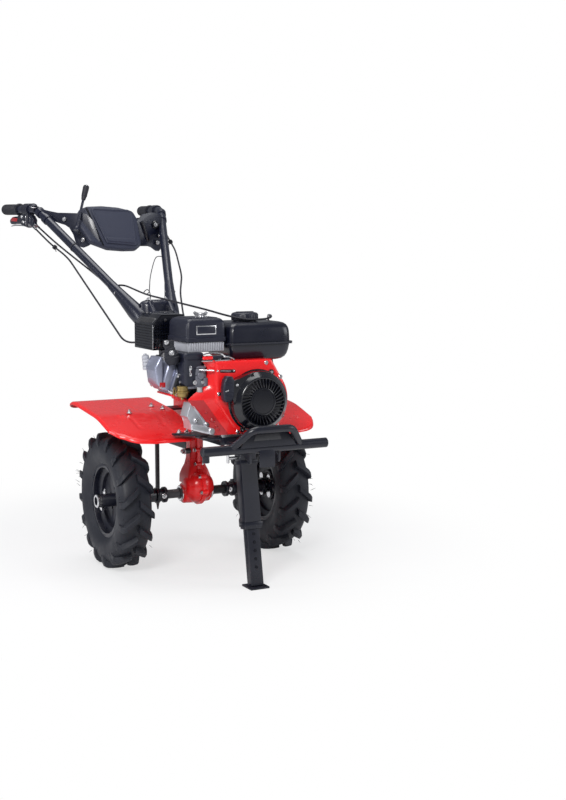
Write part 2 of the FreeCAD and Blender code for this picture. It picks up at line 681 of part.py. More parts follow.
def fender(side, s, inner, outer, front_cut):
    made = body(side + "_fender")
    ridge = fender_line()
    under = [(y, z - D.fender_t * 1.15) for y, z in reversed(ridge)]
    low, high = sorted((s * inner, s * outer), key=float)
    pad(made, side + "_fender_sheet", "x", low, high, ridge + under)
    drop = [(y, z - D.fender_lip) for y, z in reversed(ridge)]
    edge, inside = sorted((s * outer, s * (outer - D.fender_t)), key=float)
    pad(made, side + "_fender_lip", "x", edge, inside, ridge + drop)
    out = s * (outer + 1)
    low, high = D.fender_low - 30, D.fender_top + 10
    front, rear = D.fender_front - 1, D.fender_rear + 1
    corner = [(out, front)] + [(s * (outer - back), front + cut) for back, cut in front_cut]
    pocket(made, side + "_front_corner", "z", low, high, corner)
    corner = [(out, rear), (s * (outer - 24), rear), (out, rear - 24)]
    pocket(made, side + "_rear_corner", "z", low, high, corner)


def fenders():
    fender("right", -1, D.fender_in_right, D.fender_out_right, [(242, 0), (142, 28), (62, 56), (-1, 98)])
    fender("left", 1, D.fender_in_left, D.fender_out_left, [(90, 0), (40, 16), (12, 48), (-1, 86)])
    half = float(D.bracket_w) / 2
    reach = float(D.fender_out_left) - 48
    lift = vec(0, 0, -D.bracket_t)
    bars = []
    for right, left in ((-reach, D.upper_right), (D.upper_left, reach)):
        top = [vec(right, y, under_fender(y)) for y in (-half, half)]
        ends = top + [point + lift for point in reversed(top)]
        bars.append(Part.Face(Part.makePolygon(ends + ends[:1])).extrude(vec(left - right, 0, 0)))
    bars += [front_tab(-1, D.fender_in_right), front_tab(1, D.fender_in_left)]
    free_shape("fender_brackets", Part.Compound(bars))


def front_tab(s, inner):
    """Strap under the engine mount with a wedge that carries the fender."""
    top = float(D.base_z) - float(D.mount_t)
    front = float(D.tab_y) - float(D.tab_w) / 2
    rear = float(D.tab_y) + float(D.tab_w) / 2
    near = D.crank_x + s * (D.mount_half - 30)
    far = s * (inner + 50)
    strap = block(*sorted((near, far), key=float), front, rear, top - float(D.bracket_t), top)
    low, high = sorted((s * float(inner + 2), s * float(inner + 50)))
    corners = [vec(low, front, top - 1), vec(low, rear, top - 1), vec(low, rear, under_fender(rear)),
               vec(low, front, under_fender(front))]
    wedge = Part.Face(Part.makePolygon(corners + corners[:1])).extrude(vec(high - low, 0, 0))
    return strap.fuse(wedge).removeSplitter()


# ---------------------------------------------------------------- bumper, leg, hitch
def bumper():
    y = D.bumper_y
    z = D.bumper_z
    half = D.bumper_half
    bar = rod(vec(-half, y, z), vec(half, y, z), D.bumper_r)
    hollow = rod(vec(-half - 1, y, z), vec(half + 1, y, z), D.bumper_r - D.bumper_wall)
    hoop = D.arch_half
    flat = float(D.arch_flat)
    arch = swept([vec(-hoop, y, z), vec(-flat, D.arch_y, D.arch_top), vec(flat, D.arch_y, D.arch_top),
                  vec(hoop, y, z)], D.arch_r, 30)
    corners = [vec(-flat - 28, y + 4, z), vec(flat + 28, y + 4, z), vec(flat, D.arch_y + 4, D.arch_top),
               vec(-flat, D.arch_y + 4, D.arch_top)]
    plate = Part.Face(Part.makePolygon(corners + corners[:1])).extrude(vec(0, -4, 0))
    stub_x = D.stub_r - half
    stub = rod(vec(stub_x, y, z), vec(stub_x, y, z - D.stub_len), D.stub_r)
    shape = bar.fuse([arch, plate, stub])
    for side in (-1, 1):
        x = side * float(D.arm_x)
        shape = shape.fuse(block(x - D.arm_w / 2, x + D.arm_w / 2, y, D.arm_rear,
                                 D.base_z - D.mount_t - D.arm_t, D.base_z - D.mount_t))
    free_shape("bumper", shape.cut(hollow).removeSplitter())


def leg():
    under = D.base_z - D.mount_t - D.arm_t
    top = under - D.flange_t - 3
    turn = FreeCAD.Rotation(vec(1, 0, 0), -float(D.lean))
    w, d, wall = D.socket_w, D.socket_d, D.socket_wall
    outer = block(-w / 2, w / 2, -d / 2, d / 2, -D.socket_len, 0)
    slack = D.fit_side
    core = block(-w / 2 + wall, w / 2 - wall, -d / 2 + wall, d / 2 - wall, -D.socket_len - 1, 1)
    socket = outer.cut(core)
    socket.Placement = FreeCAD.Placement(vec(0, D.leg_y, top), turn)
    flange = block(-60, 60, D.leg_y - 45, D.leg_y + 45, under - D.flange_t, under)
    trim = block(-60, 60, D.leg_y - 60, D.leg_y + 60, under - D.flange_t + 1, under + 20)
    free_shape("stand_socket", socket.cut(trim).fuse(flange).removeSplitter())

    floor = -float(D.lift)
    lean = math.radians(float(D.lean))
    reach = (top - floor - 5) / math.cos(lean)
    bar = block(-w / 2 + wall + slack, w / 2 - wall - slack, -d / 2 + wall + slack,
                d / 2 - wall - slack, -reach, D.leg_len - reach)
    bar.Placement = FreeCAD.Placement(vec(0, D.leg_y, top), turn)
    foot_y = D.leg_y - (top - floor - 3) * math.tan(lean)
    half = D.leg_foot_w / 2
    pad_shape = block(-half, half, foot_y - half, foot_y + half, floor, floor + D.leg_foot_t)
    free_shape("stand_leg", bar.fuse(pad_shape).removeSplitter())


def hitch():
    made = body("hitch_bracket")
    pad(made, "hitch_arm", "x", -20, 20,
        rect(D.column_d / 2, D.hitch_y - 5, D.arm_low, D.arm_high))
    front = D.hitch_y - D.hitch_d / 2
    rear = D.hitch_y + D.hitch_d / 2
    pad(made, "hitch_socket", "z", D.hitch_low, D.hitch_top,
        rect(-D.hitch_w / 2, D.hitch_w / 2, front, rear))
    pad(made, "hitch_lug", "z", D.arm_low, D.arm_low + D.lug_t,
        rect(-D.hitch_w / 2, D.hitch_w / 2, rear - 2, rear + D.lug_len))
    pocket(made, "stake_hole", "z", D.hitch_low - 1, D.hitch_top + 1,
           (0, D.hitch_y, D.stake_r + D.fit_run))
    pocket(made, "hitch_pin_hole", "z", D.arm_low - 1, D.arm_low + D.lug_t + 1,
           (0, rear + D.lug_len / 2, D.pin_r))

    stake = body("drag_stake", y=D.hitch_y)
    turned(stake, "stake_bar", "z", [(D.stake_low, 0), (D.stake_low, 2),
                                     (D.stake_low + D.stake_tip, D.stake_r),
                                     (D.stake_top, D.stake_r), (D.stake_top, 0)])


# ---------------------------------------------------------------- handlebar
def support():
    made = body("handlebar_support")
    half = D.neck_w / 2
    neck = [(D.upper_rear, 505), (D.upper_rear, 588), (D.pivot_y - 18, D.pivot_z + 22),
            (D.pivot_y + 18, D.pivot_z - 22)]
    pad(made, "neck", "x", -half, half, neck)
    pad(made, "boss", "x", -half, half, (D.pivot_y, D.pivot_z, D.boss_r))
    pocket(made, "pivot_bore", "x", -half - 1, half + 1,
           (D.pivot_y, D.pivot_z, D.pivot_pin_r + D.fit_run))


def tube_points(s):
    return [vec(s * D.low_x, D.low_y, D.low_z), vec(s * D.bend_x, D.bend_y, D.bend_z),
            vec(s * D.end_x, D.end_y, D.end_z)]


def yoke():
    half = float(D.neck_w) / 2 + float(D.fit_side)
    cheek = float(D.cheek_t)
    pivot_y, pivot_z = float(D.pivot_y), float(D.pivot_z)
    shape = block(-D.yoke_half, D.yoke_half, D.yoke_front, D.yoke_rear, D.yoke_low, D.yoke_high)
    for s in (-1, 1):
        near, far = sorted((s * half, s * (half + cheek)))
        disc = rod(vec(near, pivot_y, pivot_z), vec(far, pivot_y, pivot_z), D.boss_r)
        web = block(near, far, pivot_y, D.yoke_front + 5, D.yoke_low, pivot_z + 30)
        low, bend, _ = tube_points(s)
        heading = (bend - low).normalize()
        collar = rod(low - heading * 10, low + heading * 45, D.tube_r + 5)
        shape = shape.fuse([disc, web, collar])
    span = half + cheek
    shape = shape.fuse(rod(vec(-span, pivot_y, pivot_z), vec(span, pivot_y, pivot_z), D.pivot_pin_r))
    for s in (-1, 1):
        low, bend, _ = tube_points(s)
        heading = (bend - low).normalize()
        shape = shape.cut(rod(low, low + heading * 90, D.tube_r + D.fit_run))
    free_shape("handlebar_base", shape.removeSplitter())


def handles():
    tubes = [swept(tube_points(s), D.tube_r, D.tube_bend_r, D.tube_wall) for s in (-1, 1)]
    free_shape("handle_tubes", Part.Compound(tubes))
    grips = []
    for s in (-1, 1):
        _, bend, end = tube_points(s)
        heading = (end - bend).normalize()
        start = end - heading * (float(D.grip_len) - 3)
        grip = rod(start, end + heading * 3, D.tube_r + D.grip_t)
        grips.append(grip.cut(rod(start - heading, end, D.tube_r + D.fit_run)))
    free_shape("hand_grips", Part.Compound(grips))


def panel():
    lean = {"z": D.panel_z, "turn_axis": (1, 0, 0), "turn": -D.panel_lean}
    made = body("control_panel", y=D.panel_y, **lean)
    half = D.panel_half
    top = D.panel_len / 2
    face = -D.panel_t / 2
    wing = half + D.panel_wing
    shell = [(1 - wing, -1), (-half, 26 - top), (-38, 2 - top), (half - 31, -top - 3), (half - 6, 14 - top),
             (half - 3, top - 47), (half - 15, top - 18), (13 - half, top - 7), (10 - wing, top - 13),
             (-wing, top - 29)]
    pad(made, "panel_shell", "y", face, -face, shell)
    pad(made, "panel_plate", "y", face - 5, face,
        [(-39, 21 - top), (half - 22, 10 - top), (half - 18, top - 24), (16 - half, top - 14)])
    solid = made.Shape.copy()
    solid.translate(vec(0, -float(D.axle_y), -float(D.lift)))
    plates = [bracket_plate(s).cut(solid) for s in (-1, 1)]
    free_shape("panel_brackets", Part.Compound(plates))


def bracket_plate(s):
    """Flat plate from the panel's side back to the handle tube just below its bend."""
    low, bend, _ = tube_points(s)
    lean = FreeCAD.Rotation(vec(1, 0, 0), -float(D.panel_lean))
    middle = vec(0, D.panel_y, D.panel_z)
    side = float(D.panel_half) - 4 if s > 0 else float(D.panel_half + D.panel_wing) - 2
    near = middle + lean.multVec(vec(s * side, 0, 40))
    below = middle + lean.multVec(vec(s * side, 0, -60))
    tube = low + (bend - low) * 0.93
    out = (tube - near)
    reach = out.Length - float(D.tube_r) / 2
    out.normalize()
    normal = out.cross(below - near).normalize()
    down = normal.cross(out) * (1 if normal.cross(out).z < 0 else -1)
    if s > 0:
        flat = [(0, -20), (reach, -20), (reach, 30), (reach - 24, 95), (reach - 40, 108), (2, 114)]
    else:
        flat = [(0, -20), (reach, -20), (reach, 20), (58, 20), (34, 42), (24, 76), (22, 104), (8, 116),
                (-28, 108), (-4, 60)]
    corners = [near + out * u + down * v for u, v in flat]
    plate = Part.Face(Part.makePolygon(corners + corners[:1])).extrude(normal * float(D.plate_t))
    return plate.cut(rod(low, bend, D.tube_r + D.fit_run))


def pod_place(s):
    """Where a lever's clamp sits on the tube, and which way the tube runs there."""
    _, bend, end = tube_points(s)
    heading = (end - bend).normalize()
    return end - heading * float(D.pod_back), heading


def pod_front():
    return pod_place(1)[0].y - float(D.pod_half)


def pod_low():
    return pod_place(1)[0].z - float(D.tube_r + D.pod_gap + D.pod_h)


def levers():
    x, y = D.lever_x, D.lever_y
    low = vec(x, y, D.lever_low)
    high = vec(x + D.lever_to_x, y + D.lever_to_y, D.lever_high)
    heading = (high - low).normalize()
    stick = rod(low, high, D.lever_r)
    knob = rod(high - heading * float(D.knob_len), high + heading * 6, D.knob_r)
    free_shape("gear_lever", stick.fuse(knob).removeSplitter())

    parts = []
    for s in (-1, 1):
        at, heading = pod_place(s)
        clamp = rod(at - heading * 22, at + heading * 22, D.tube_r + 6)
        clamp = clamp.cut(rod(at - heading * 30, at + heading * 30, D.tube_r + 0.2))
        front, rear = at.y - float(D.pod_half), at.y + float(D.pod_half)
        low = pod_low()
        pod = block(at.x - 16, at.x + 16, front, rear, low, low + D.pod_h)
        blade = block(at.x - 11, at.x + 11, at.y + 10, at.y + 190, low + 6, low + 20)
        parts.append(clamp.fuse([pod, blade]).removeSplitter())
    free_shape("hand_levers", Part.Compound(parts))


def cable(label, points, radius=None):
    """Cable whose bends are as large as its runs allow."""
    wire = route(points, float("inf"))
    radii = [edge.Curve.Radius for edge in wire.Edges if isinstance(edge.Curve, Part.Circle)]
    print("%s: %.0f mm long, bends of %s mm" % (label, wire.Length, ", ".join("%.0f" % r for r in radii)))
    free_shape(label, swept(points, radius or D.cable_r, float("inf")))


def tube_inside(share):
    """Point just off the inner side of the left tube, at a share of its straight run."""
    low, bend, _ = tube_points(1)
    along = bend - low
    inward = vec(-1, 0, 0) + along * (along.x / along.Length ** 2)
    return low + along * share + inward.normalize() * (float(D.tube_r) + 0.02)


def cables():
    """Bowden cables down to the engine and the gearbox, and the engine's stop wire."""
    gland_top = D.upper_z + D.upper_h + D.gland_h
    pod = pod_front()
    exit_z = pod_low() + 8
    cable("clutch_cable",
          [vec(-250, pod, exit_z), vec(-250, pod - 26, exit_z), vec(-219, 714, 977), vec(-186, 640, 935),
           vec(-205, 50, 676), vec(-136, 24, 690), vec(-62, 4, 684),
           vec(D.clutch_gland_x, D.clutch_gland_y, gland_top + 46),
           vec(D.clutch_gland_x, D.clutch_gland_y, gland_top)])
    cable("throttle_cable",
          [vec(-238, pod, exit_z + 4), vec(-238, pod - 26, exit_z + 4), vec(-208, 704, 985),
           vec(-178, 622, 940), vec(-132, 530, 882), vec(-96, 466, 836), vec(-70, 420, 846), vec(-30, 310, 815),
           vec(-12, -130, 785), vec(-4, -240, 774), vec(30, -308, 764), vec(92, -312, 764),
           vec(142, -258, 768), vec(158, -190, 770), vec(187, -152, 734), vec(192, -150, 640),
           vec(184, -190, 584), vec(160, D.gland_y, D.gland_z),
           vec(D.crank_x + D.block_out + 10, D.gland_y, D.gland_z)])
    cable("shift_cable",
          [vec(250, pod, exit_z), vec(250, pod - 26, exit_z), vec(248, 790, 1010), vec(222, 650, 955),
           vec(180, 500, 870), vec(130, 400, 815), vec(84, 270, 745), vec(46, 130, 705),
           vec(26, 52, 690), vec(D.shift_gland_x, D.shift_gland_y, gland_top + 46),
           vec(D.shift_gland_x, D.shift_gland_y, gland_top)])
    cable("stop_wire",
          [tube_inside(0.52), vec(118, 575, 938.5), vec(104, 566, 921), vec(88, 549, 891),
           vec(69, 520, 862), vec(53, 485, 836), vec(34, 442, 814), vec(0, 400, 811), vec(-22, 358, 820),
           vec(-22, 320, 834), vec(-20, 300, 822), vec(-20, 300, D.yoke_high)], D.wire_r)


wheel("right", -1)
wheel("left", 1)
gearbox()
engine()
engine_covers()
tank_and_cleaner()
exhaust()
fenders()
bumper()
leg()
hitch()
support()
yoke()
handles()
panel()
levers()
cables()
doc.recompute()

for item in doc.Objects:
    if "Invalid" in item.State or "Error" in item.State:
        raise RuntimeError("%s did not build: %s" % (item.Name, item.State))
os.makedirs("parts", exist_ok=True)
for node in NODES:
    if node.Shape.isNull() or not node.Shape.isValid():
        raise RuntimeError(node.Label + " has no valid shape")
    node.Shape.exportStep("parts/%s.step" % node.Label)
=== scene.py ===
"""Looks of the two-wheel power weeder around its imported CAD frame.

Lengths in the part functions are millimetres in the machine's own frame: X to its left, Y to
the rear from the axle, Z up from the floor. Kit.done turns them into the row frame's metres.
"""
import json
import random
from math import cos, exp, hypot, pi, radians, sin, sqrt, tan

import bmesh
import bpy
from mathutils import Matrix, Vector

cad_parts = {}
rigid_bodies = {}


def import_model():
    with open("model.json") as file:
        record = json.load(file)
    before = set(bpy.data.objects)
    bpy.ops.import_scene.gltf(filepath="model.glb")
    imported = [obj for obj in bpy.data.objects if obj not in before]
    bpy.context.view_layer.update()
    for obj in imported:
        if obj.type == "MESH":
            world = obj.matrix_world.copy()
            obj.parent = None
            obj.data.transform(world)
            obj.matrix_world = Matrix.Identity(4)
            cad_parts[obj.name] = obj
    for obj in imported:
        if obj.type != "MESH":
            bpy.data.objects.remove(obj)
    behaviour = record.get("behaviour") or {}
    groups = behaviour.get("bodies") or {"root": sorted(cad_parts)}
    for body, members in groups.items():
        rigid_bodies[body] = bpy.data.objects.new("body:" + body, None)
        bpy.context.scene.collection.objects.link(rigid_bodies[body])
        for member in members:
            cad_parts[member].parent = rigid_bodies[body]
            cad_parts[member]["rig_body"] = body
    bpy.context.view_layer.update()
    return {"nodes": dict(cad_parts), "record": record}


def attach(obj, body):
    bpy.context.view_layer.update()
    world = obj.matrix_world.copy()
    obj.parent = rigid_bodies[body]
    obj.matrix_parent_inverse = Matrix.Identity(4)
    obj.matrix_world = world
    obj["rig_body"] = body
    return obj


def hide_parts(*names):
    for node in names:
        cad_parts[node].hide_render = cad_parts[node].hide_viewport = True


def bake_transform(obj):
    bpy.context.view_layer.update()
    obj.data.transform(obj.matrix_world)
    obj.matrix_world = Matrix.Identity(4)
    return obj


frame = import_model()
rng = random.Random(11)

AXLE_Y = 274.5
TO_ROW = Matrix.Translation((0, -AXLE_Y / 1000, 0)) @ Matrix.Scale(0.001, 4)
X, Y, Z = Vector((1, 0, 0)), Vector((0, 1, 0)), Vector((0, 0, 1))
SIDES = (("right", -1), ("left", 1))
SHOW = bpy.context.scene.collection.objects.link


# ---------------------------------------------------------------- materials
def node(tree, kind, **values):
    """A shader node with its inputs or settings given by name."""
    made = tree.nodes.new(kind)
    for key, value in values.items():
        if key in made.inputs:
            made.inputs[key].default_value = value
        else:
            setattr(made, key, value)
    return made


def ramp(tree, value, start, end, low, high, kind="LINEAR"):
    """Maps a value from start..end to low..high."""
    made = node(tree, "ShaderNodeMapRange", interpolation_type=kind)
    for name, number in zip(("From Min", "From Max", "To Min", "To Max"), (start, end, low, high)):
        made.inputs[name].default_value = number
    tree.links.new(value, made.inputs["Value"])
    return made.outputs["Result"]


def product(tree, a, b):
    """One output times another."""
    made = node(tree, "ShaderNodeMath", operation="MULTIPLY")
    tree.links.new(a, made.inputs[0])
    tree.links.new(b, made.inputs[1])
    return made.outputs["Value"]


def colour_mix(tree, share, *colours):
    """Mixes two colours, each of them three numbers or the output of another node."""
    mix = node(tree, "ShaderNodeMix", data_type="RGBA")
    tree.links.new(share, mix.inputs["Factor"])
    for socket, colour in zip([s for s in mix.inputs if s.type == "RGBA"], colours):
        if isinstance(colour, tuple):
            socket.default_value = colour + (1,)
        else:
            tree.links.new(colour, socket)
    return [s for s in mix.outputs if s.type == "RGBA"][0]


def shader_mix(tree, share, first, second, output):
    """Sends a mix of two shaders to the tree's output node."""
    mix = node(tree, "ShaderNodeMixShader")
    for socket, source in zip(mix.inputs, (share, first, second)):
        tree.links.new(source, socket)
    tree.links.new(mix.outputs["Shader"], tree.nodes[output].inputs["Surface"])


def material(name, colour, rough, metal=0.0, coat=0.0, vary=0.12, rough_vary=0.08, grain=900,
             bump=0.1, depth=0.0002, dust=0.0):
    """A painted, cast, moulded or machined surface, with grain and uneven gloss."""
    made = bpy.data.materials.new(name)
    made.use_nodes = True
    tree = made.node_tree
    link = tree.links.new
    shader = tree.nodes["Principled BSDF"].inputs
    shader["Metallic"].default_value = metal
    shader["Coat Weight"].default_value = coat
    shader["Coat Roughness"].default_value = 0.06
    place = node(tree, "ShaderNodeTexCoord").outputs["Object"]

    def noise(scale, detail=4.0, roughness=0.55):
        tex = node(tree, "ShaderNodeTexNoise", Scale=scale, Detail=detail, Roughness=roughness)
        link(place, tex.inputs["Vector"])
        return tex.outputs["Fac"]

    link(ramp(tree, noise(14), 0.3, 0.7, max(rough - rough_vary, 0.03), rough + rough_vary),
         shader["Roughness"])
    paint = colour_mix(tree, noise(126, 5.0), tuple(c * (1 - vary) for c in colour),
                       tuple(min(c * (1 + vary), 1) for c in colour))
    if dust:
        split = node(tree, "ShaderNodeSeparateXYZ")
        link(node(tree, "ShaderNodeNewGeometry").outputs["Normal"], split.inputs["Vector"])
        lying = product(tree, split.outputs["Z"], noise(40, 6.0, 0.7))
        paint = colour_mix(tree, ramp(tree, lying, 0.3, 0.75, 0, dust), paint, (0.30, 0.27, 0.23))
    link(paint, shader["Base Color"])
    skin = node(tree, "ShaderNodeBump", Strength=bump, Distance=depth)
    link(noise(grain, 3.0), skin.inputs["Height"])
    link(skin.outputs["Normal"], shader["Normal"])
    return made


FINISH = {
    "red": ("painted_red", material("gloss_red", (0.78, 0.010, 0.012), 0.28, coat=0.3,
            vary=0.05, rough_vary=0.05, grain=260, bump=0.06, dust=0.03)),
    # This darker red is painted shade on the shroud's lower flank and in the recoil's windows; the red
    # marks on the valve cover and the levers have it as their own colour.
    "dark_red": ("painted_red", material("deep_red", (0.42, 0.008, 0.012), 0.34, coat=0.2,
                 vary=0.08, grain=300, bump=0.08)),
    # The blacks below and the panel's dark grey carry a blue tint: the blue cast of the shade, painted
    # into their colour.
    "black": ("painted_black", material("satin_black", (0.004, 0.005, 0.012), 0.34, coat=0.05,
              vary=0.2, grain=700, bump=0.10, dust=0.05)),
    "satin": ("painted_black", material("tube_black", (0.007, 0.009, 0.022), 0.30, coat=0.2,
              vary=0.2, grain=600, bump=0.08)),
    "tank": ("painted_black", material("tank_black", (0.004, 0.005, 0.013), 0.30, coat=0.1,
             vary=0.15, rough_vary=0.05, grain=500, bump=0.05)),
    # Besides the gloss black parts, this finish fills the shroud's slot, the panel's gate and groove and
    # the stand's holes as painted shade.
    "gloss": ("painted_black", material("gloss_black", (0.002, 0.0025, 0.006), 0.20, coat=0.3,
              vary=0.1, rough_vary=0.04, grain=300, bump=0.05)),
    "plastic": ("black_plastic", material("moulded_black", (0.006, 0.0075, 0.019), 0.42,
                vary=0.15, grain=1400, bump=0.25, dust=0.03)),
    "rubber": ("black_rubber", material("dull_rubber", (0.006, 0.0065, 0.013), 0.60, vary=0.2,
               grain=1200, bump=0.25)),
    "tyre": ("tyre_rubber", material("tyre_rubber", (0.004, 0.0055, 0.012), 0.56, vary=0.25,
             rough_vary=0.12, grain=420, bump=0.35, depth=0.0006, dust=0.10)),
    "cast": ("cast_silver", material("cast_alloy", (0.56, 0.57, 0.59), 0.40, metal=0.85,
             vary=0.1, rough_vary=0.1, grain=650, bump=0.35, depth=0.0004)),
    "panel": ("black_plastic", material("panel_black", (0.016, 0.020, 0.042), 0.52,
              grain=1400, bump=0.18)),
    # The cylinder's silver casting drawn near black: painted shade between the valve cover and the
    # intake.
    "head_painted_shade": ("cast_silver", material("head_casting_painted_shade", (0.018, 0.020, 0.024), 0.45, metal=0.3,
                   vary=0.3, grain=420, bump=0.3, depth=0.0004)),
    "grey_cast": ("cast_silver", material("valve_casting", (0.34, 0.36, 0.46), 0.34, metal=0.7,
                  vary=0.1, grain=500, bump=0.25, depth=0.0003)),
    "bright_cast": ("cast_silver", material("pale_casting", (0.66, 0.67, 0.71), 0.30,
                    metal=0.75, vary=0.08, grain=500, bump=0.25, depth=0.0003)),
    "dull_cast": ("cast_silver", material("grey_casting", (0.20, 0.205, 0.24), 0.42, metal=0.6,
                  grain=600, bump=0.3, depth=0.0004)),
    "bright": ("bright_steel", material("zinc_plate", (0.70, 0.70, 0.71), 0.24, metal=1.0,
               vary=0.06, grain=500, bump=0.08)),
    "brass": ("bright_steel", material("brass", (0.36, 0.26, 0.10), 0.36, metal=1.0, vary=0.2,
              grain=500, bump=0.08)),
    "dark": ("dark_steel", material("dark_steel", (0.06, 0.06, 0.064), 0.40, metal=0.6,
             vary=0.25, rough_vary=0.12, grain=380, bump=0.2)),
    "grey": ("grey_plastic", material("grey_plastic", (0.40, 0.41, 0.45), 0.45, vary=0.08,
             grain=1000, bump=0.15)),
}
SLOT_FINISH = {"painted_red": "red", "painted_black": "black", "cast_silver": "cast",
               "bright_steel": "bright", "dark_steel": "dark", "black_plastic": "plastic",
               "grey_plastic": "grey", "tyre_rubber": "tyre", "black_rubber": "rubber"}
SLOTS = {part["node"]: part["material_slot"] for part in frame["record"]["subparts"]}
for name, obj in frame["nodes"].items():
    obj.data.materials.clear()
    obj.data.materials.append(FINISH[SLOT_FINISH[SLOTS[name]]][1])


# ---------------------------------------------------------------- geometry kit
def turned(angle, axis="X"):
    """A rotation by an angle in degrees."""
    return Matrix.Rotation(radians(angle), 4, axis)


def turns(count, start=0.0):
    """Angles spread evenly over a full turn, in radians."""
    return [start + 2 * pi * i / count for i in range(count)]


def oval(middle, side, up, count):
    """A closed loop round a point, with two vectors as its half axes."""
    return [middle + side * cos(a) + up * sin(a) for a in turns(count)]


def corner_loop(corners, arc=5):
    """Points round a flat outline whose corners (x, y, radius) are rounded."""
    points = []
    for i, (x, y, r) in enumerate(corners):
        here = Vector((x, y))
        before = Vector(corners[i - 1][:2]) - here
        after = Vector(corners[(i + 1) % len(corners)][:2]) - here
        back = min(r / tan(before.angle(after) / 2), before.length * 0.49, after.length * 0.49)
        start, end = here + before.normalized() * back, here + after.normalized() * back
        for t in (k / (arc - 1) for k in range(arc)):
            points.append(start * (1 - t) ** 2 + here * 2 * t * (1 - t) + end * t ** 2)
    return points


def level_loop(corners, z, arc=6):
    """The same outline laid level at a height."""
    return [Vector((p.x, p.y, z)) for p in corner_loop(corners, arc)]


class Kit:
    """Collects the solids of one look piece in one mesh."""

    def __init__(self):
        self.bm = bmesh.new()

    def move(self, matrix, verts=None):
        """Moves some vertices, or all that are there."""
        bmesh.ops.transform(self.bm, matrix=matrix, verts=verts or self.bm.verts)

    def bevel(self, edges, r, seg, clamp=True):
        return bmesh.ops.bevel(self.bm, geom=list(edges), offset=r, segments=seg, profile=0.5,
                               affect="EDGES", clamp_overlap=clamp)["verts"]

    def box(self, lo, hi, r=1.5, seg=2):
        lo, hi = Vector(lo), Vector(hi)
        made = bmesh.ops.create_cube(self.bm, size=1)["verts"]
        bmesh.ops.scale(self.bm, vec=hi - lo, verts=made)
        made = self.bevel({e for v in made for e in v.link_edges}, r, seg)
        self.move(Matrix.Translation((lo + hi) / 2), made)
        return made

    def ring(self, points):
        return [self.bm.verts.new(p) for p in points]

    def skin(self, rings):
        """Faces between each ring and the next; a ring of one vertex is a point."""
        for a, b in zip(rings, rings[1:]):
            if len(a) == len(b) == 1:
                continue
            count = max(len(a), len(b))
            for i in range(count):
                j = (i + 1) % count
                if len(a) == 1:
                    self.bm.faces.new((a[0], b[j], b[i]))
                elif len(b) == 1:
                    self.bm.faces.new((a[i], a[j], b[0]))
                else:
                    self.bm.faces.new((a[i], a[j], b[j], b[i]))

    def loft(self, loops):
        rings = [self.ring(loop) for loop in loops]
        self.skin(rings)
        return [self.bm.faces.new(rings[0]), self.bm.faces.new(rings[-1])]

    def lathe(self, at, axis, profile, seg=32, closed=False, spin=0.0):
        """Profile of (radius, along) pairs round an axis; radius 0 closes an end."""
        at = Vector(at)
        turn = Z.rotation_difference(Vector(axis)).to_matrix()
        rings = [self.ring([at + turn @ Vector((r * cos(a), r * sin(a), along))
                            for a in turns(seg if r else 1, spin)]) for r, along in profile]
        self.skin(rings + rings[:1] if closed else rings)
        return [vert for ring in rings for vert in ring]

    def spun(self, at, axis, profile, seg=32, spin=0.0):
        """A turned solid: the ends of its profile run straight in to the axis."""
        ends = [[(0, along)] if r else [] for r, along in (profile[0], profile[-1])]
        self.lathe(at, axis, ends[0] + profile + ends[1], seg, spin=spin)

    def rod(self, a, b, r, seg=20, edge=0.8):
        a, b = Vector(a), Vector(b)
        length = (b - a).length
        edge = min(edge, r * 0.4, length * 0.4)
        self.spun(a, b - a, [(r - edge, 0), (r, edge), (r, length - edge), (r - edge, length)], seg)

    def bolt(self, at, axis, af=12, h=6, tip=4, washer=True):
        """Hexagon head on a washer, with a short stub of thread."""
        r = af / sqrt(3)
        base = 1.5 if washer else 0
        if washer:
            self.spun(at, axis, [(r * 1.35, 0), (r * 1.35, 1.2), (r * 1.25, 1.6)], 20)
        top = base + h
        self.spun(at, axis, [(r, base), (r, top - 1), (r * 0.88, top)], 6, rng.random())
        if tip:
            self.spun(at, axis, [(af * 0.28, top - 0.5), (af * 0.28, top + tip - 1),
                                 (af * 0.2, top + tip)], 12)

    def bolt_row(self, places, axis, af=12, h=6, tip=4, washer=True):
        for at in places:
            self.bolt(at, axis, af, h, tip, washer)

    def screw(self, at, axis, r=4, h=2.5):
        self.spun(at, axis, [(r, -1), (r, h * 0.35), (r * 0.8, h * 0.8), (r * 0.45, h),
                             (r * 0.4, h * 0.45)], 16)

    def tube(self, points, radius, seg=12, caps=True):
        points = [Vector(p) for p in points]
        radii = radius if isinstance(radius, list) else [radius] * len(points)
        rings, side = [], None
        for i, p in enumerate(points):
            ahead = points[min(i + 1, len(points) - 1)] - points[max(i - 1, 0)]
            ahead.normalize()
            side = side or ahead.orthogonal().normalized()
            side = (side - ahead * side.dot(ahead)).normalized()
            rings.append(self.ring(oval(p, side * radii[i], ahead.cross(side) * radii[i], seg)))
        self.skin(rings)
        if caps:
            self.bm.faces.new(rings[0])
            self.bm.faces.new(rings[-1])

    def slab(self, loop, depth, r, seg=2):
        """A flat loop made `depth` (a vector) thick, with its two rims rounded."""
        caps = self.loft([loop, [p + depth for p in loop]])
        self.bevel({e for f in caps for e in f.edges}, r, seg)

    def prism(self, outline, normal, at, thick, r=0.8, seg=2):
        """An outline square to an axis, from `at` along it; its numbers are the other two axes."""
        u, v = [axis for axis in (X, Y, Z) if axis != normal]
        self.slab([normal * at + u * a + v * b for a, b in outline], normal * thick, r, seg)

    def done(self, name, finish, smooth=32, body="chassis"):
        """Turns what was built in millimetres into an object in the row frame."""
        bmesh.ops.recalc_face_normals(self.bm, faces=self.bm.faces)
        self.bm.transform(TO_ROW)
        return self.dressed(name, finish, smooth, body)

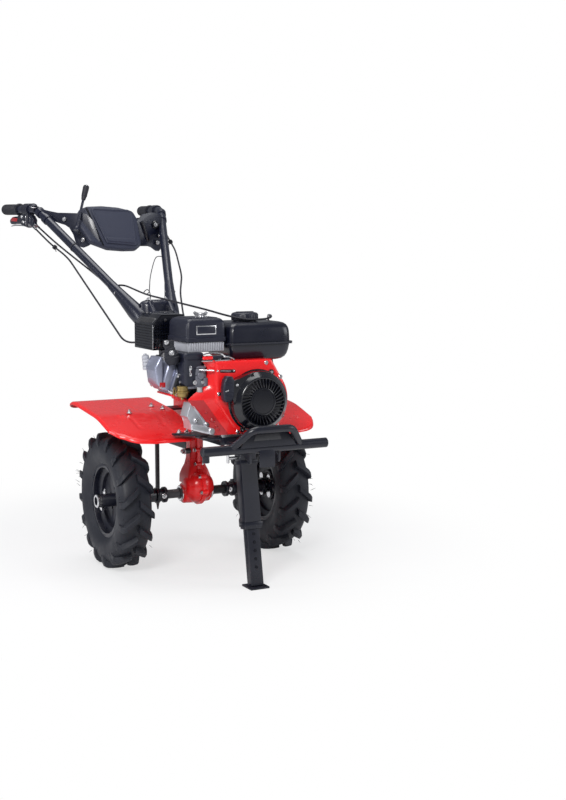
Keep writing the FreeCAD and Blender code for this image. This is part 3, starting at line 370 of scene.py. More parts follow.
    def dressed(self, name, finish, smooth, body):
        """Makes the object. One named NODE_look stands for that CAD node."""
        mesh = bpy.data.meshes.new(name)
        self.bm.to_mesh(mesh)
        self.bm.free()
        slot, look = FINISH[finish]
        mesh.materials.append(look)
        mesh.shade_smooth()
        mesh.set_sharp_from_angle(angle=radians(smooth))
        obj = bpy.data.objects.new(name, mesh)
        SHOW(obj)
        if body is not None:
            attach(obj, body)
        if name.endswith("_look"):
            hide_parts(name.removesuffix("_look"))
        return obj


def rounded(name, width=1.2, finish=None):
    """A CAD node shown again with its sharp edges broken."""
    source = frame["nodes"][name]
    kit = Kit()
    bm = kit.bm
    bm.from_mesh(source.data)
    bmesh.ops.remove_doubles(bm, verts=bm.verts, dist=1e-5)
    bmesh.ops.dissolve_limit(bm, angle_limit=radians(0.4), verts=bm.verts, edges=bm.edges)
    sharp = [e for e in bm.edges if len(e.link_faces) == 2 and e.calc_face_angle(0) > radians(30)]
    kit.bevel(sharp, width / 1000, 2, False)
    bmesh.ops.recalc_face_normals(bm, faces=bm.faces)
    kit.dressed(name + "_look", finish or SLOT_FINISH[SLOTS[name]], 32, source["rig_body"])


# ---------------------------------------------------------------- wheels
WHEEL_X, WHEEL_Z = 265, 207.5
# one lug's sections: place across, top radius, place across and radius at its foot, turn back
LUG = [(1, 206.5, 1, 186, 0), (14, 207.2, 14, 186, 0.055), (28, 206.5, 28, 185, 0.11),
       (40, 205, 38, 182, 0.16), (47, 200, 40, 176, 0.195), (51.5, 187, 43, 166, 0.205),
       (52.5, 172, 45, 158, 0.21)]
CASING = [(104, 30), (108, 33), (114, 36), (124, 43), (138, 48.5), (152, 50.5), (166, 49.5),
          (177, 46.5), (184, 41.5), (188, 33), (190.5, 18), (191.5, 0)]


def on_wheel(x, r, turn):
    """A point on a wheel, at an angle from the front up over the top."""
    return Vector((x, -r * cos(turn), WHEEL_Z + r * sin(turn)))


def tyre(side, s):
    """The casing as a ring of revolution, with sixteen lugs from each flank to the middle."""
    middle = s * WHEEL_X
    kit = Kit()
    kit.lathe((middle, 0, WHEEL_Z), X, CASING + [(r, -h) for r, h in reversed(CASING[:-1])], 96, True)
    for flank, ahead in ((-1, 0.75), (1, 0.25)):
        for start in turns(16, 2 * pi * ahead / 16):
            loops = []
            for x, top, low_x, low, lag in LUG:
                wide = 10.5 if x < 45 else 9.5
                section = [(low_x, low, -wide - 3), (x, top - 3, -wide), (x, top, -wide + 2.5),
                           (x, top, wide - 2.5), (x, top - 3, wide), (low_x, low, wide + 3)]
                loops.append([on_wheel(middle + flank * a, b, start - lag + c / 200)
                              for a, b, c in section])
            kit.loft(loops)
    kit.done(side + "_tyre_look", "tyre", 38, side + "_wheel")


def tyre_hairs(side, s):
    """The moulding's thin rubber hairs, scattered over both flanks."""
    kit = Kit()
    for _ in range(46):
        turn = rng.random() * 2 * pi
        flank = rng.choice((-1, 1, 1))
        r = rng.uniform(168, 202)
        base = on_wheel(s * WHEEL_X + s * flank * (46 + (200 - r) * 0.15), r, turn)
        outward = X * s * flank * rng.uniform(0.5, 1.0)
        bent = on_wheel(0, 1, turn + rng.uniform(-1, 1)) - Z * WHEEL_Z
        tip = base + (outward + bent) * rng.uniform(7, 13)
        kit.tube([base, (base + tip) / 2 + Z * 0.6, tip], [0.75, 0.6, 0.25], 5)
    kit.done(side + "_tyre_hairs", "rubber", body=side + "_wheel")


def rim_bolts(side, s):
    """Four bolts through the rim disc and the hub flange."""
    kit = Kit()
    for turn in turns(4, pi / 4):
        kit.bolt(on_wheel(s * (WHEEL_X - 18), 36, turn), X * s, 15, 8)
    kit.done(side + "_wheel_bolts", "bright", body=side + "_wheel")


for side, s in SIDES:
    tyre(side, s)
    tyre_hairs(side, s)
    rim_bolts(side, s)


# ---------------------------------------------------------------- fenders
REAR, FRONT = 206, -242
# the sheet's top line from rear to front, (y, height)
TOP_LINE = [(REAR, 472), (192, 490), (150, 498), (-60, 477), (-112, 463), (-202, 436), (FRONT, 416)]
SHEET, ROLL = 2.4, 7  # the sheet's thickness and the radius of its rolled edge


def fender_height(y):
    """Height of the sheet's top face, with the folds of its side view eased."""
    def within(at):
        return min(max(at, FRONT), REAR)

    def sharp(at):
        for (rear, high), (front, low) in zip(TOP_LINE, TOP_LINE[1:]):
            if at >= front:
                return low + (at - front) / (rear - front) * (high - low)
    return sum(sharp(within(within(y) + k * 6)) for k in range(-4, 5)) / 9


def cut_line(cut, back):
    """How far the front edge stands back at a distance from the outer edge."""
    for (a, high), (b, low) in zip(cut, cut[1:]):
        if back >= b:
            return high + (a - back) / (a - b) * (low - high) if back <= a else high
    return cut[-1][1]


def fender(side, s, inner, outer, cut, ribs, creases):
    """A pressed sheet as a fine grid, with a rolled edge, short ribs, creases and a lip below."""
    kit = Kit()
    columns = [0, 0.004, 0.012, 0.03] + [0.06 + 0.86 * i / 40 for i in range(41)]
    columns += [0.95, 0.97, 0.982, 0.991, 0.996, 1.0]
    rows = [0, 0.004, 0.01, 0.018, 0.03] + [0.05 + 0.9 * i / 60 for i in range(61)]
    rows += [0.97, 0.982, 0.99, 0.996, 1.0]

    def point(u, v, under):
        x = inner + (outer - inner) * u
        back = outer - x
        edge = sum(cut_line(cut, max(back + k, 0)) for k in (-6, -3, 0, 3, 6)) / 5
        if s < 0:
            edge += 30 * max(0, 1 - (x - inner) / 24) ** 2
        front = FRONT + edge
        rear = REAR - 26 * max(0, 1 - back / 26) ** 2
        y = front + (rear - front) * v
        away = min(back, (y - front) * (0.9 if edge < 1 else 0.8), rear - y)
        z = fender_height(y)
        if away < ROLL:
            z -= ROLL - sqrt(max(ROLL ** 2 - (ROLL - away) ** 2, 0))
        for a, b, turn in ribs:
            along, across = y - b + (x - a) * turn, x - a - (y - b) * turn
            for shift in (-5, 5):
                z += 3.4 * exp(-((across - shift) / 2.4) ** 2 - (along / 13) ** 6)
        for ax, ay, bx, by in creases:
            run = Vector((bx - ax, by - ay))
            t = min(max(((x - ax) * run.x + (y - ay) * run.y) / run.length_squared, 0), 1)
            z -= 2.2 * exp(-(hypot(x - ax - run.x * t, y - ay - run.y * t) / 2.2) ** 2)
        return Vector((s * x, y, z - under))

    def border(grid):
        """The grid's outer vertices in order round it."""
        return (grid[0] + [row[-1] for row in grid[1:]] + grid[-1][-2::-1]
                + [row[0] for row in grid[-2:0:-1]])

    borders = []
    for under in (0, SHEET):
        grid = [kit.ring([point(u, v, under) for u in columns]) for v in rows]
        for a, b in zip(grid, grid[1:]):
            for i in range(len(a) - 1):
                quad = (a[i], a[i + 1], b[i + 1], b[i])
                kit.bm.faces.new(quad[::-1] if under else quad)
        borders.append(border(grid))
    upper, lower = borders
    centre = Vector((s * (inner + outer) / 2, -20, 0))
    skirt, lip = [], []
    for vert in upper:
        at_inner = abs(abs(vert.co.x) - inner) < 1e-4
        foot = vert.co - Z * (SHEET if at_inner else 3)
        inward = Vector((centre.x - foot.x, centre.y - foot.y, 0)).normalized() * 2.2
        skirt.append(foot)
        lip.append(foot if at_inner else foot + inward)
    kit.skin([upper, kit.ring(skirt), kit.ring(lip), lower])
    kit.done(side + "_fender_look", "red", 50)


fender("right", -1, 92, 344,
       [(250, 0), (110, 0), (70, 8), (45, 20), (33, 35), (14, 44), (7, 66), (0, 84)],
       [(270, -72, 0.1), (190, -68, 0.1), (128, -62, 0.1)],
       [(154, -40, 171, -190), (246, -80, 248, -165), (206, 150, 206, -30), (120, 160, 120, 20)])
fender("left", 1, 132, 328,
       [(110, 0), (80, 3), (52, 9), (30, 20), (16, 36), (6, 58), (0, 84)],
       [(269, -172, 0.1), (215, -70, 0.1)],
       [(200, -40, 206, -190), (230, 150, 230, -20)])


# ---------------------------------------------------------------- tank, cleaner, muffler
def tank_loop(z, inset):
    """The tank's level outline, whose front right corner is cut off."""
    x0, x1, y0, y1 = -37 + inset, 166 - inset, -340 + inset, -150 - inset
    return level_loop([(x0, y0 + 8, 7), (x0 + 8, y0, 9), (x1, y0, 30), (x1, y1, 26), (x0, y1, 22)],
                      z, 7)


def box_loops(x0, x1, y0, y1, sections):
    """Level outlines of a rounded box, one for each (height, inset, corner radius)."""
    return [level_loop([(x0 + i, y0 + i, r), (x1 - i, y0 + i, r), (x1 - i, y1 - i, r),
                        (x0 + i, y1 - i, r)], z) for z, i, r in sections]


def fuel_tank():
    """Two pressed shells with a seam lip, the cap with its scalloped grip, and its chain."""
    kit = Kit()
    seam = 694
    lower = [(645, 34), (646, 26), (649, 18), (655, 11), (663, 7), (674, 4), (686, 2), (seam, 1)]
    upper = [(699, 1), (712, 1), (730, 2), (740, 4), (748, 8), (753, 14), (755.5, 22), (756, 32)]
    lip = [(-0.8, 2), (-0.8, -6), (0, -5), (5, -6), (5.8, -5), (5.8, 2)]
    kit.loft([tank_loop(z, i) for z, i in lower + upper])
    kit.loft([tank_loop(seam + z, i) for z, i in lip])
    for x in (-1, 62):
        kit.box((x, -222, 590), (x + 24, -190, 662), 2)
    kit.done("fuel_tank_look", "tank", 40)

    cap = Kit()
    at = Vector((53, -250, 750))
    cap.spun(at, Z, [(34, 0), (34, 8), (30, 8.5), (30, 10)], 40)
    loops = []
    for z, r in ((9, 37.1), (10.5, 38.6), (26, 38.6), (29, 37.4), (31, 34.6), (32.3, 29.6)):
        scallops = [1.4 * max(0, cos(a * 16)) ** 0.5 if z < 28 else 0.6 for a in turns(144)]
        loops.append([at + Vector(((r + grow) * cos(a), (r + grow) * sin(a), z))
                      for a, grow in zip(turns(144), scallops)])
    cap.loft(loops)
    cap.box((25, -254, 781), (81, -246, 785), 1.5)
    cap.done("fuel_cap_look", "plastic", 40)
    chain = Kit()
    chain.tube([(53, -222, 758), (40, -206, 754), (24, -204, 753), (12, -214, 753)], 1.4, 8)
    chain.spun((12, -214, 752), Z, [(5, 0), (5, 3)], 16)
    chain.done("cap_chain", "plastic")


def air_cleaner():
    """Cover, wing nut, ribbed grey band, and the blank plate on the front."""
    kit = Kit()
    kit.loft(box_loops(-168, -39, -325, -185, (
        (705, 2, 11), (706.5, 0, 12), (716, 0, 12), (719, 2.5, 12), (740, 3.2, 12),
        (758, 4, 12), (762, 5.5, 12), (768, 10, 12), (771, 15, 11), (772, 22, 8))))
    kit.box((-146, -304, 771), (-60, -206, 773.5), 2)
    kit.done("air_cleaner_cover_look", "plastic", 28)

    nut = Kit()
    x, y, z = -92, -256, 773
    nut.spun((x, y, z), Z, [(22, 0), (22, 1.5), (12, 2.4), (8, 3), (8, 10), (5, 12)])
    for s in (-1, 1):
        wing = [(3, 2), (18, 4), (24, 13), (19, 17), (11, 12), (3, 10)]
        nut.prism([(x + s * a, z + b) for a, b in wing], Y, y + 2, -4, 1.2)
    nut.done("cleaner_wing_nut", "bright", 40)

    band = Kit()
    x0, x1, y0, y1, deep = -162, -45, -320, -190, 6
    band.loft(box_loops(x0, x1, y0, y1, ((676, 5, 9), (677, 3, 9), (705, 3, 9), (706, 5, 9))))
    for x in (x0 + deep + i * 7.4 for i in range(15)):
        for y in (y0, y1 - deep):
            band.box((x, y, 678), (x + 4.6, y + deep, 704), 1)
    for y in (y0 + deep + i * 7.6 for i in range(16)):
        for x in (x0, x1 - deep):
            band.box((x, y, 678), (x + deep, y + 4.6, 704), 1)
    band.done("air_cleaner_base_look", "grey", 40)

    for name, finish, lo, hi, r in (
            ("cleaner_plate_frame", "bright", (-136, -324, 726), (-74, -319, 752), 1.2),
            ("cleaner_plate_blank", "plastic", (-133, -325, 729), (-77, -321, 749), 0.6)):
        plate = Kit()
        plate.box(lo, hi, r)
        plate.done(name, finish)


def perforated(kit, origin, u, v, size, cells, hole):
    """A sheet with thickness and round holes, in a grid of cells along u and v."""
    origin = Vector(origin)
    inward = u.cross(v).normalized() * -1.6
    cw, ch = size[0] / cells[0], size[1] / cells[1]
    known = {}

    def vert(a, b, back):
        key = (round(a, 3), round(b, 3), back)
        if key not in known:
            known[key] = kit.bm.verts.new(origin + u * a + v * b + inward * back)
        return known[key]

    rays = []
    for k in range(9):
        ex, ey = cos(pi / 4 * k), sin(pi / 4 * k)
        grow = 1 / max(abs(ex), abs(ey))
        rays.append(((ex * grow * cw / 2, ey * grow * ch / 2), (ex * hole, ey * hole)))
    for i in range(cells[0]):
        for j in range(cells[1]):
            cx, cy = (i + 0.5) * cw, (j + 0.5) * ch
            for (out_a, in_a), (out_b, in_b) in zip(rays, rays[1:]):
                places = [(cx + x, cy + y) for x, y in (out_a, out_b, in_b, in_a)]
                kit.bm.faces.new([vert(x, y, 0) for x, y in places])
                kit.bm.faces.new([vert(x, y, 1) for x, y in places[::-1]])
                kit.bm.faces.new([vert(*places[3], 0), vert(*places[2], 0),
                                  vert(*places[2], 1), vert(*places[3], 1)])


def muffler():
    """The drum inside its guard, which is perforated on the two sides that show."""
    kit = Kit()
    x0, x1, y0, y1, z0, z1 = -200, -76, -156, -12, 672, 776
    cut = 27
    high = z1 - z0 - cut - 6
    perforated(kit, (x0, y1, z0 + 4), -Y, Z, (y1 - y0, high), (16, 9), 2.0)
    perforated(kit, (x0 + 4, y0, z0 + 4), X, Z, (x1 - x0 - 8, high), (13, 8), 2.6)
    eave = z1 - cut - 3
    kit.prism([(x0, eave), (x0 + cut, z1), (x1 - cut, z1), (x1, eave), (x1 - 2, eave),
               (x1 - cut - 1, z1 - 2), (x0 + cut + 1, z1 - 2), (x0 + 2, eave)], Y, y0, y1 - y0, 0.5)
    kit.prism([(x0 + 1, eave), (x0 + cut, z1 - 1), (x1 - cut, z1 - 1), (x1 - 1, eave)], Y, y0, 2, 0.5)
    kit.box((x1 - 2, y0, z0), (x1, y1, eave + 1), 0.8)
    side, face = (x0 - 0.5, x0 + 2.5), (y0 - 0.5, y0 + 2.5)
    for x, y, z in ((side, (y0, y0 + 6), (z0, eave + 3)), (side, (y1 - 6, y1), (z0, eave + 3)),
                    ((x0, x0 + 7), face, (z0, eave + 3)), ((x1 - 7, x1), face, (z0, eave + 3)),
                    (side, (y0, y1), (z0, z0 + 6)), ((x0, x1), face, (z0, z0 + 6))):
        kit.box((x[0], y[0], z[0]), (x[1], y[1], z[1]), 0.8)
    kit.done("muffler_guard_look", "gloss", 40)
    drum = Kit()
    drum.box((-195, -149, 676), (-84, -26, 766), 14, 4)
    drum.done("muffler_look", "dark", 40)
    # A bright steel strip along the black guard's front outer corner: a painted highlight on that edge.
    edge = Kit()
    edge.box((x0 - 1.2, y0 - 1.2, z0 + 2), (x0 + 1.6, y0 + 1.6, eave), 0.7)
    edge.done("guard_edge_painted_highlight", "bright")
    screws = Kit()
    for x, z in ((x0 + 22, z0 + 14), (x1 - 16, z0 + 14), (x0 + 40, z1 - 16)):
        screws.screw((x, y0, z), -Y, 4.5, 3)
    screws.done("guard_screws", "dark")


fuel_tank()
air_cleaner()
muffler()


# ---------------------------------------------------------------- fan shroud and recoil
CRANK = Vector((30, 0, 535))
LEAN = Matrix.Translation(CRANK) @ turned(18, "Y")
RIM_Y, FACE_Y, CASE_Y = -364, -372, -345  # shroud's rim and face, and the crankcase's front


def by_crank(r, angle, y):
    """A point at an angle round the crankshaft, in degrees from +X up to +Z."""
    return Vector((CRANK.x + r * cos(radians(angle)), y, CRANK.z + r * sin(radians(angle))))


def crank_arc(r, start, end, count, y=0):
    """Points on an arc round the crankshaft, its two ends with them."""
    return [by_crank(r, start + (end - start) * i / (count - 1), y) for i in range(count)]


def along(points, count):
    """`count` points evenly along a broken line of (x, z), its last point left out."""
    points = [Vector((x, 0, z)) for x, z in points]
    runs = [(b - a).length for a, b in zip(points, points[1:])]
    made = []
    for i in range(count):
        left = sum(runs) * i / count
        for a, b, run in zip(points, points[1:], runs):
            if left <= run:
                made.append(a.lerp(b, left / run))
                break
            left -= run
    return made


def shroud_outline(stretches):
    """Equal counts in each stretch make the front and the back outline match."""
    here, points = (80, 653), []
    for count, run in zip((12, 6, 5, 6, 6, 3), stretches):
        points += along([here] + run, count)
        here = run[-1]
    return points + crank_arc(104, -117, 34, 40) + along([(114, 596), (80, 653)], 5)


def drawn_in(points, by, y):
    """The closed outline moved inwards by a small distance, at a place along Y."""
    loop = []
    for i, p in enumerate(points):
        way = points[(i + 1) % len(points)] - points[i - 1]
        loop.append(p + Vector((-way.z, 0, way.x)).normalized() * by + Y * y)
    return loop


def shroud():
    """Fan shroud lofted from its front outline to its back one, with a darker red strip of painted shade
    on its lower flank, a dark slot of painted shade, and screws.
    """
    front = shroud_outline([[(-98, 653)], [(-98, 585)], [(-98, 542)], [(-56, 479)], [(-23, 440)],
                            [(-18, 439)]])
    back = shroud_outline([[(-128, 653)], [(-113, 632), (-117, 585)], [(-154, 562), (-174, 545)],
                           [(-141, 505), (-110, 466)], [(-91, 440)], [(-19, 438)]])
    kit = Kit()
    loops = [drawn_in(front, by, RIM_Y - out)
             for out, by in ((8, 8), (7.6, 5), (6.2, 2.4), (3.6, 0.7), (0, 0))]
    loops += [[a.lerp(b, t) + Y * (RIM_Y + 18 * t) for a, b in zip(front, back)]
              for t in (0.2, 0.55, 0.9)]
    kit.loft(loops + [drawn_in(back, by, CASE_Y) for by in (0, 3)])
    kit.box((-122, -347, 646), (78, -312, 652.6), 1)
    kit.tube([(-100, -368, 654), (-124, -347, 654)], 2.2, 8)
    kit.done("fan_shroud_look", "red", 40)

    # A darker red strip with small dimples, laid on the shroud's lower flank: painted shade on the
    # shroud's one red paint.
    lower = Kit()
    out = Vector((-0.45, -0.6, -0.65)) * 1.6
    strip = []
    for p, q in list(zip(front, back))[23:36]:
        b = q + Y * CASE_Y
        a = (p + Y * RIM_Y).lerp(b, 0.42)
        strip.append([a - out, b - out, b + out, a + out])
    lower.loft(strip)
    for k, r in ((3, 5), (5, 9), (7, 6), (9, 4)):
        spot = strip[k][3].lerp(strip[k][2], 0.45)
        lower.spun(spot, out, [(r, -1), (r * 0.8, 2), (0, 2.4)], 20)
    lower.done("shroud_flank_painted_shade", "dark_red", 30)

    # The slot is a thin gloss black patch on the shroud's face: painted shade in place of the opening.
    slot = Kit()
    slot.prism(corner_loop([(-86, 620.5, 4), (-37, 618.5, 4), (-37, 628, 4), (-86, 630, 4)]),
               Y, FACE_Y - 0.5, 2, 0.3)
    slot.done("shroud_slot_painted_shade", "gloss")
    pins = Kit()
    pins.rod((-84, FACE_Y - 1.2, 626), (-52, FACE_Y - 1.2, 624), 1.9)
    pins.screw((-42, FACE_Y - 0.6, 623.5), -Y, 2.6, 1.6)
    pins.screw((-93, FACE_Y + 0.4, 626), -Y, 3.4, 2)
    pins.rod((-142, CASE_Y - 7, 630), (-103, FACE_Y, 627.5), 2.6)
    pins.bolt_row([(x, FACE_Y + 1, z) for x, z in ((62, 643), (108, 600), (-30, 448), (-88, 560))],
                  -Y, 8, 3, 0)
    pins.done("shroud_pins", "bright")


def recoil():
    """Recoil starter with its spokes, feet and handle, and its windows drawn as dark red patches of
    painted shade.
    """
    kit = Kit()
    at = CRANK + Y * FACE_Y
    feet, feet_r = (60, 150, 240, 330), 93
    cap_y = FACE_Y - 31
    kit.spun(at, -Y, [(91, 0), (91.5, 1.5), (90.5, 3.5), (87, 4.5), (86.4, 24), (85, 27.5), (73, 39),
                      (71.6, 41.8), (69.6, 43), (67, 42.6), (66.4, 35), (41, 35), (40.4, 42.4),
                      (38.6, 43), (35.4, 43), (34.8, 41.8), (33.6, 41.8), (33, 42.7), (20, 43)], 96)
    sweep = Matrix.Translation(X * 56) @ turned(13, "Z") @ Matrix.Translation(X * -56)
    for i in range(36):
        rib = kit.box((40.5, -1.6, 34), (67.2, 1.6, 43.2), 0.6)
        kit.move(Matrix.Translation(at) @ turned(90) @ turned(10 * i, "Z") @ sweep, rib)
    kit.prism([(-61, 599), (-40, 604), (-14, 614), (7, 621), (0, 607), (-15, 590), (-27, 566),
               (-36, 539), (-56, 530), (-61, 548)], Y, FACE_Y - 1, -30, 1.4)
    kit.tube([(x, cap_y - 1, z) for x, z in ((7, 621), (-2, 608), (-16, 590), (-28, 565), (-37, 539))],
             1.1, 8)
    for turn in feet:
        kit.spun(by_crank(feet_r, turn, FACE_Y - 4), -Y, [(8, -3), (8, 0), (7, 1)], 20)
    kit.done("recoil_starter_look", "gloss", 36)

    # The windows are dark red patches on the drum's side, not openings: the shade inside them is
    # painted.
    windows = Kit()
    for start, end in ((131, 119), (116, 97), (221, 238), (30, 55), (-20, 10)):
        windows.loft([[a, a - Y * 7, b - Y * 7, b] for a, b in
                      zip(*(crank_arc(r, start, end, 8, FACE_Y - 8) for r in (86.9, 85)))])
    windows.done("recoil_windows_painted_shade", "dark_red", 20)
    pins = Kit()
    pins.screw((-47, cap_y, 586), -Y, 4, 2.6)
    pins.screw((-26, cap_y, 582), -Y, 2.8, 2)
    pins.rod((-84, -405.5, 570), (-74, -405.5, 573), 2.2)
    pins.bolt_row([by_crank(feet_r, turn, FACE_Y - 5) for turn in feet], -Y, 8, 3, 0, False)
    pins.done("recoil_pins", "bright")

    grip = Kit()
    grip.prism([(-88, 546), (-80, 538), (-62, 540), (-55, 556), (-54, 600), (-60, 611), (-76, 613),
                (-84, 604), (-89, 580)], Y, FACE_Y - 7, -25, 5, 3)
    for z in (556, 566, 584, 594):
        grip.box((-85, -405.4, z), (-59, -402, z + 4), 1)
    grip.done("recoil_handle_look", "plastic", 40)


def throttle_parts():
    """Throttle plate with its links and spring, lever and knob."""
    plate = Kit()
    plate.prism([(-138, -362), (-104, -366), (-52, -364), (-38, -352), (-52, -318), (-128, -314)],
                Z, 653, 3, 0.6)
    plate.tube([(-134, -362, 672), (-124, -364, 676), (-104, -364, 677), (-84, -364, 675),
                (-72, -363, 671), (-66, -363, 664)], 2.0, 10)
    plate.tube([(-66, -363, 664), (-56, -365, 664), (-46, -366, 661), (-38, -367, 656)], 1.9, 10)
    plate.tube([(-100 + t * 0.42, -345 + 4 * cos(t * 0.9), 664 + 4 * sin(t * 0.9))
                for t in range(84)], 0.9, 6)
    plate.bolt((-118, -340, 656), Z)
    plate.bolt((-72, -336, 656), Z, 11, 5)
    plate.done("throttle_plate", "bright")
    lever = Kit()
    lever.prism([(-128, -354), (-78, -360), (-66, -352), (-74, -338), (-110, -330), (-128, -338)],
                Z, 659, 8, 2)
    lever.box((-62, -350, 656), (-44, -322, 667), 3)
    lever.done("throttle_control_look", "plastic", 36)
    knob = Kit()
    knob.box((-134, -367, 658), (-104, -357, 668), 3, 3)
    knob.done("throttle_knob", "red")


# ---------------------------------------------------------------- crankcase, cylinder, intake
def crankcase():
    """The castings below the cylinder and the bolts of the case."""
    rounded("crankcase", 3)
    rounded("clutch_housing", 2)
    kit = Kit()
    kit.prism([(-164, 535), (-176, 496), (-166, 486), (-166, 478), (-165, 459), (-106, 441), (-96, 441),
               (-97, 456), (-110, 466), (-141, 505)], Y, -343, 50, 2.5)
    kit.prism([(-166, 476), (-165, 459), (-106, 441), (-98, 441), (-98, 456), (-108, 464),
               (-118, 468)], Y, -350, 30, 4, 3)
    kit.prism([(-160, 528), (-152, 528), (-128, 498), (-110, 472), (-116, 470), (-136, 494)],
              Y, -347, 20, 1.5)
    kit.rod((-103, -354, 452), (-103, -330, 452), 9.5, edge=2)
    spots = ((-148, 485), (-116, 472))
    for x, z in spots:
        kit.spun((x, -346, z), -Y, [(8, -6), (7, 2)], 20)
    for y in (-330 + i * 36 for i in range(4)):
        kit.box((119.5, y, 470), (124, y + 8, 560), 1.5)
    kit.spun((118, -250, 480), X, [(14, 0), (14, 10), (12, 12)], 24)
    kit.done("crankcase_casting", "bright_cast", 40)
    bolts = Kit()
    bolts.bolt_row([(x, -348, z) for x, z in spots], -Y, 8, 4, 0)
    bolts.bolt_row([(x, y, 441) for x in (-52, 112) for y in (-322, -196)], Z, 13, 7)
    bolts.bolt_row([by_crank(84, turn, -143) for turn in range(20, 380, 60)], Y, 10, 5)
    bolts.done("crankcase_bolts", "bright")


def cylinder():
    """Modelled along the crank's -X and leaned over with LEAN."""
    kit = Kit()
    lo, hi = -298, -190
    for i in range(9):
        half = 50 if i < 8 else 52
        kit.box((-121 - i * 11, lo, -half), (-118 - i * 11, hi, half), 1)
    kit.box((-210, lo + 9, -41), (-112, hi - 9, 41), 4)
    kit.box((-228, lo, -50), (-206, hi, 64), 5, 3)
    for z in (-36, -22, -8, 6, 20, 34):
        kit.box((-226, lo - 4, z), (-200, lo + 4, z + 5), 1)
    kit.rod((-214, lo - 5, 46), (-214, lo + 4, 46), 8)
    kit.rod((-216, lo - 6, -46), (-216, lo + 4, -46), 7)
    for i in range(6):
        y = lo + 12 + i * 17
        kit.box((-226, y, 48), (-150, y + 4, 66 if i < 5 else 60), 1)
    kit.move(LEAN)
    # Near black: painted shade on the casting between the valve cover and the intake.
    kit.done("cylinder_look", "head_painted_shade", 36)

    cover = Kit()
    cover.box((-233, -295, -50), (-227, -212, 48), 2)
    cover.box((-262, -290, -46), (-230, -216, 38), 9, 3)
    cover.move(LEAN)
    cover.prism([(-224, 664), (-233, 664), (-249, 634), (-243, 588), (-232, 576), (-225, 578)],
                Y, -290, 74, 5, 3)
    cover.prism([(-248.5, 626), (-243.5, 594), (-240, 594), (-244, 626)], Y, -284, 60, 1.2)
    cover.done("valve_cover_look", "grey_cast", 36)

    rounded("cylinder_cowl", 1.5)
    bolts = Kit()
    bolts.bolt_row([(-262, y, z) for z in (38, -38) for y in (-287, -222)], -X, 8, 4, 0)
    bolts.bolt_row([(-228, y, z) for y, z in ((-292, 52), (-200, 52), (-294, -44))], -X, 10)
    bolts.bolt_row([(-214, -303, 46), (-216, -303, -46)], -Y, 8, 4, 0)
    bolts.move(LEAN)
    bolts.done("head_bolts", "bright")
    mark = Kit()
    mark.box((-236, -292, 578), (-219, -288, 592), 0.8)
    mark.done("cover_red_mark", "dark_red")

    plug = Kit()
    foot, way = Vector((-237, -205, 624)), Vector((-0.2, 0, 1))
    for k in range(4):
        r = 13 - 1.2 * k
        plug.spun(foot + way * 10 * k, way, [(r, 0), (r + 1.2, 2), (r + 1.2, 7), (r, 9), (r, 10)], 28)
    plug.spun(foot + way * 40, way, [(5, 0), (5, 4), (0, 5)], 20)
    plug.done("spark_plug_look", "grey", 36)
    boot = Kit()
    boot.rod((-262, -212, 44), (-262, -196, 26), 10)
    boot.move(LEAN)
    lead = ((-264, -212, 44), (-258, -222, 62), (-240, -230, 72), (-214, -236, 70))
    boot.tube([LEAN @ Vector(p) for p in lead], 3.4)
    boot.done("plug_boot", "rubber")


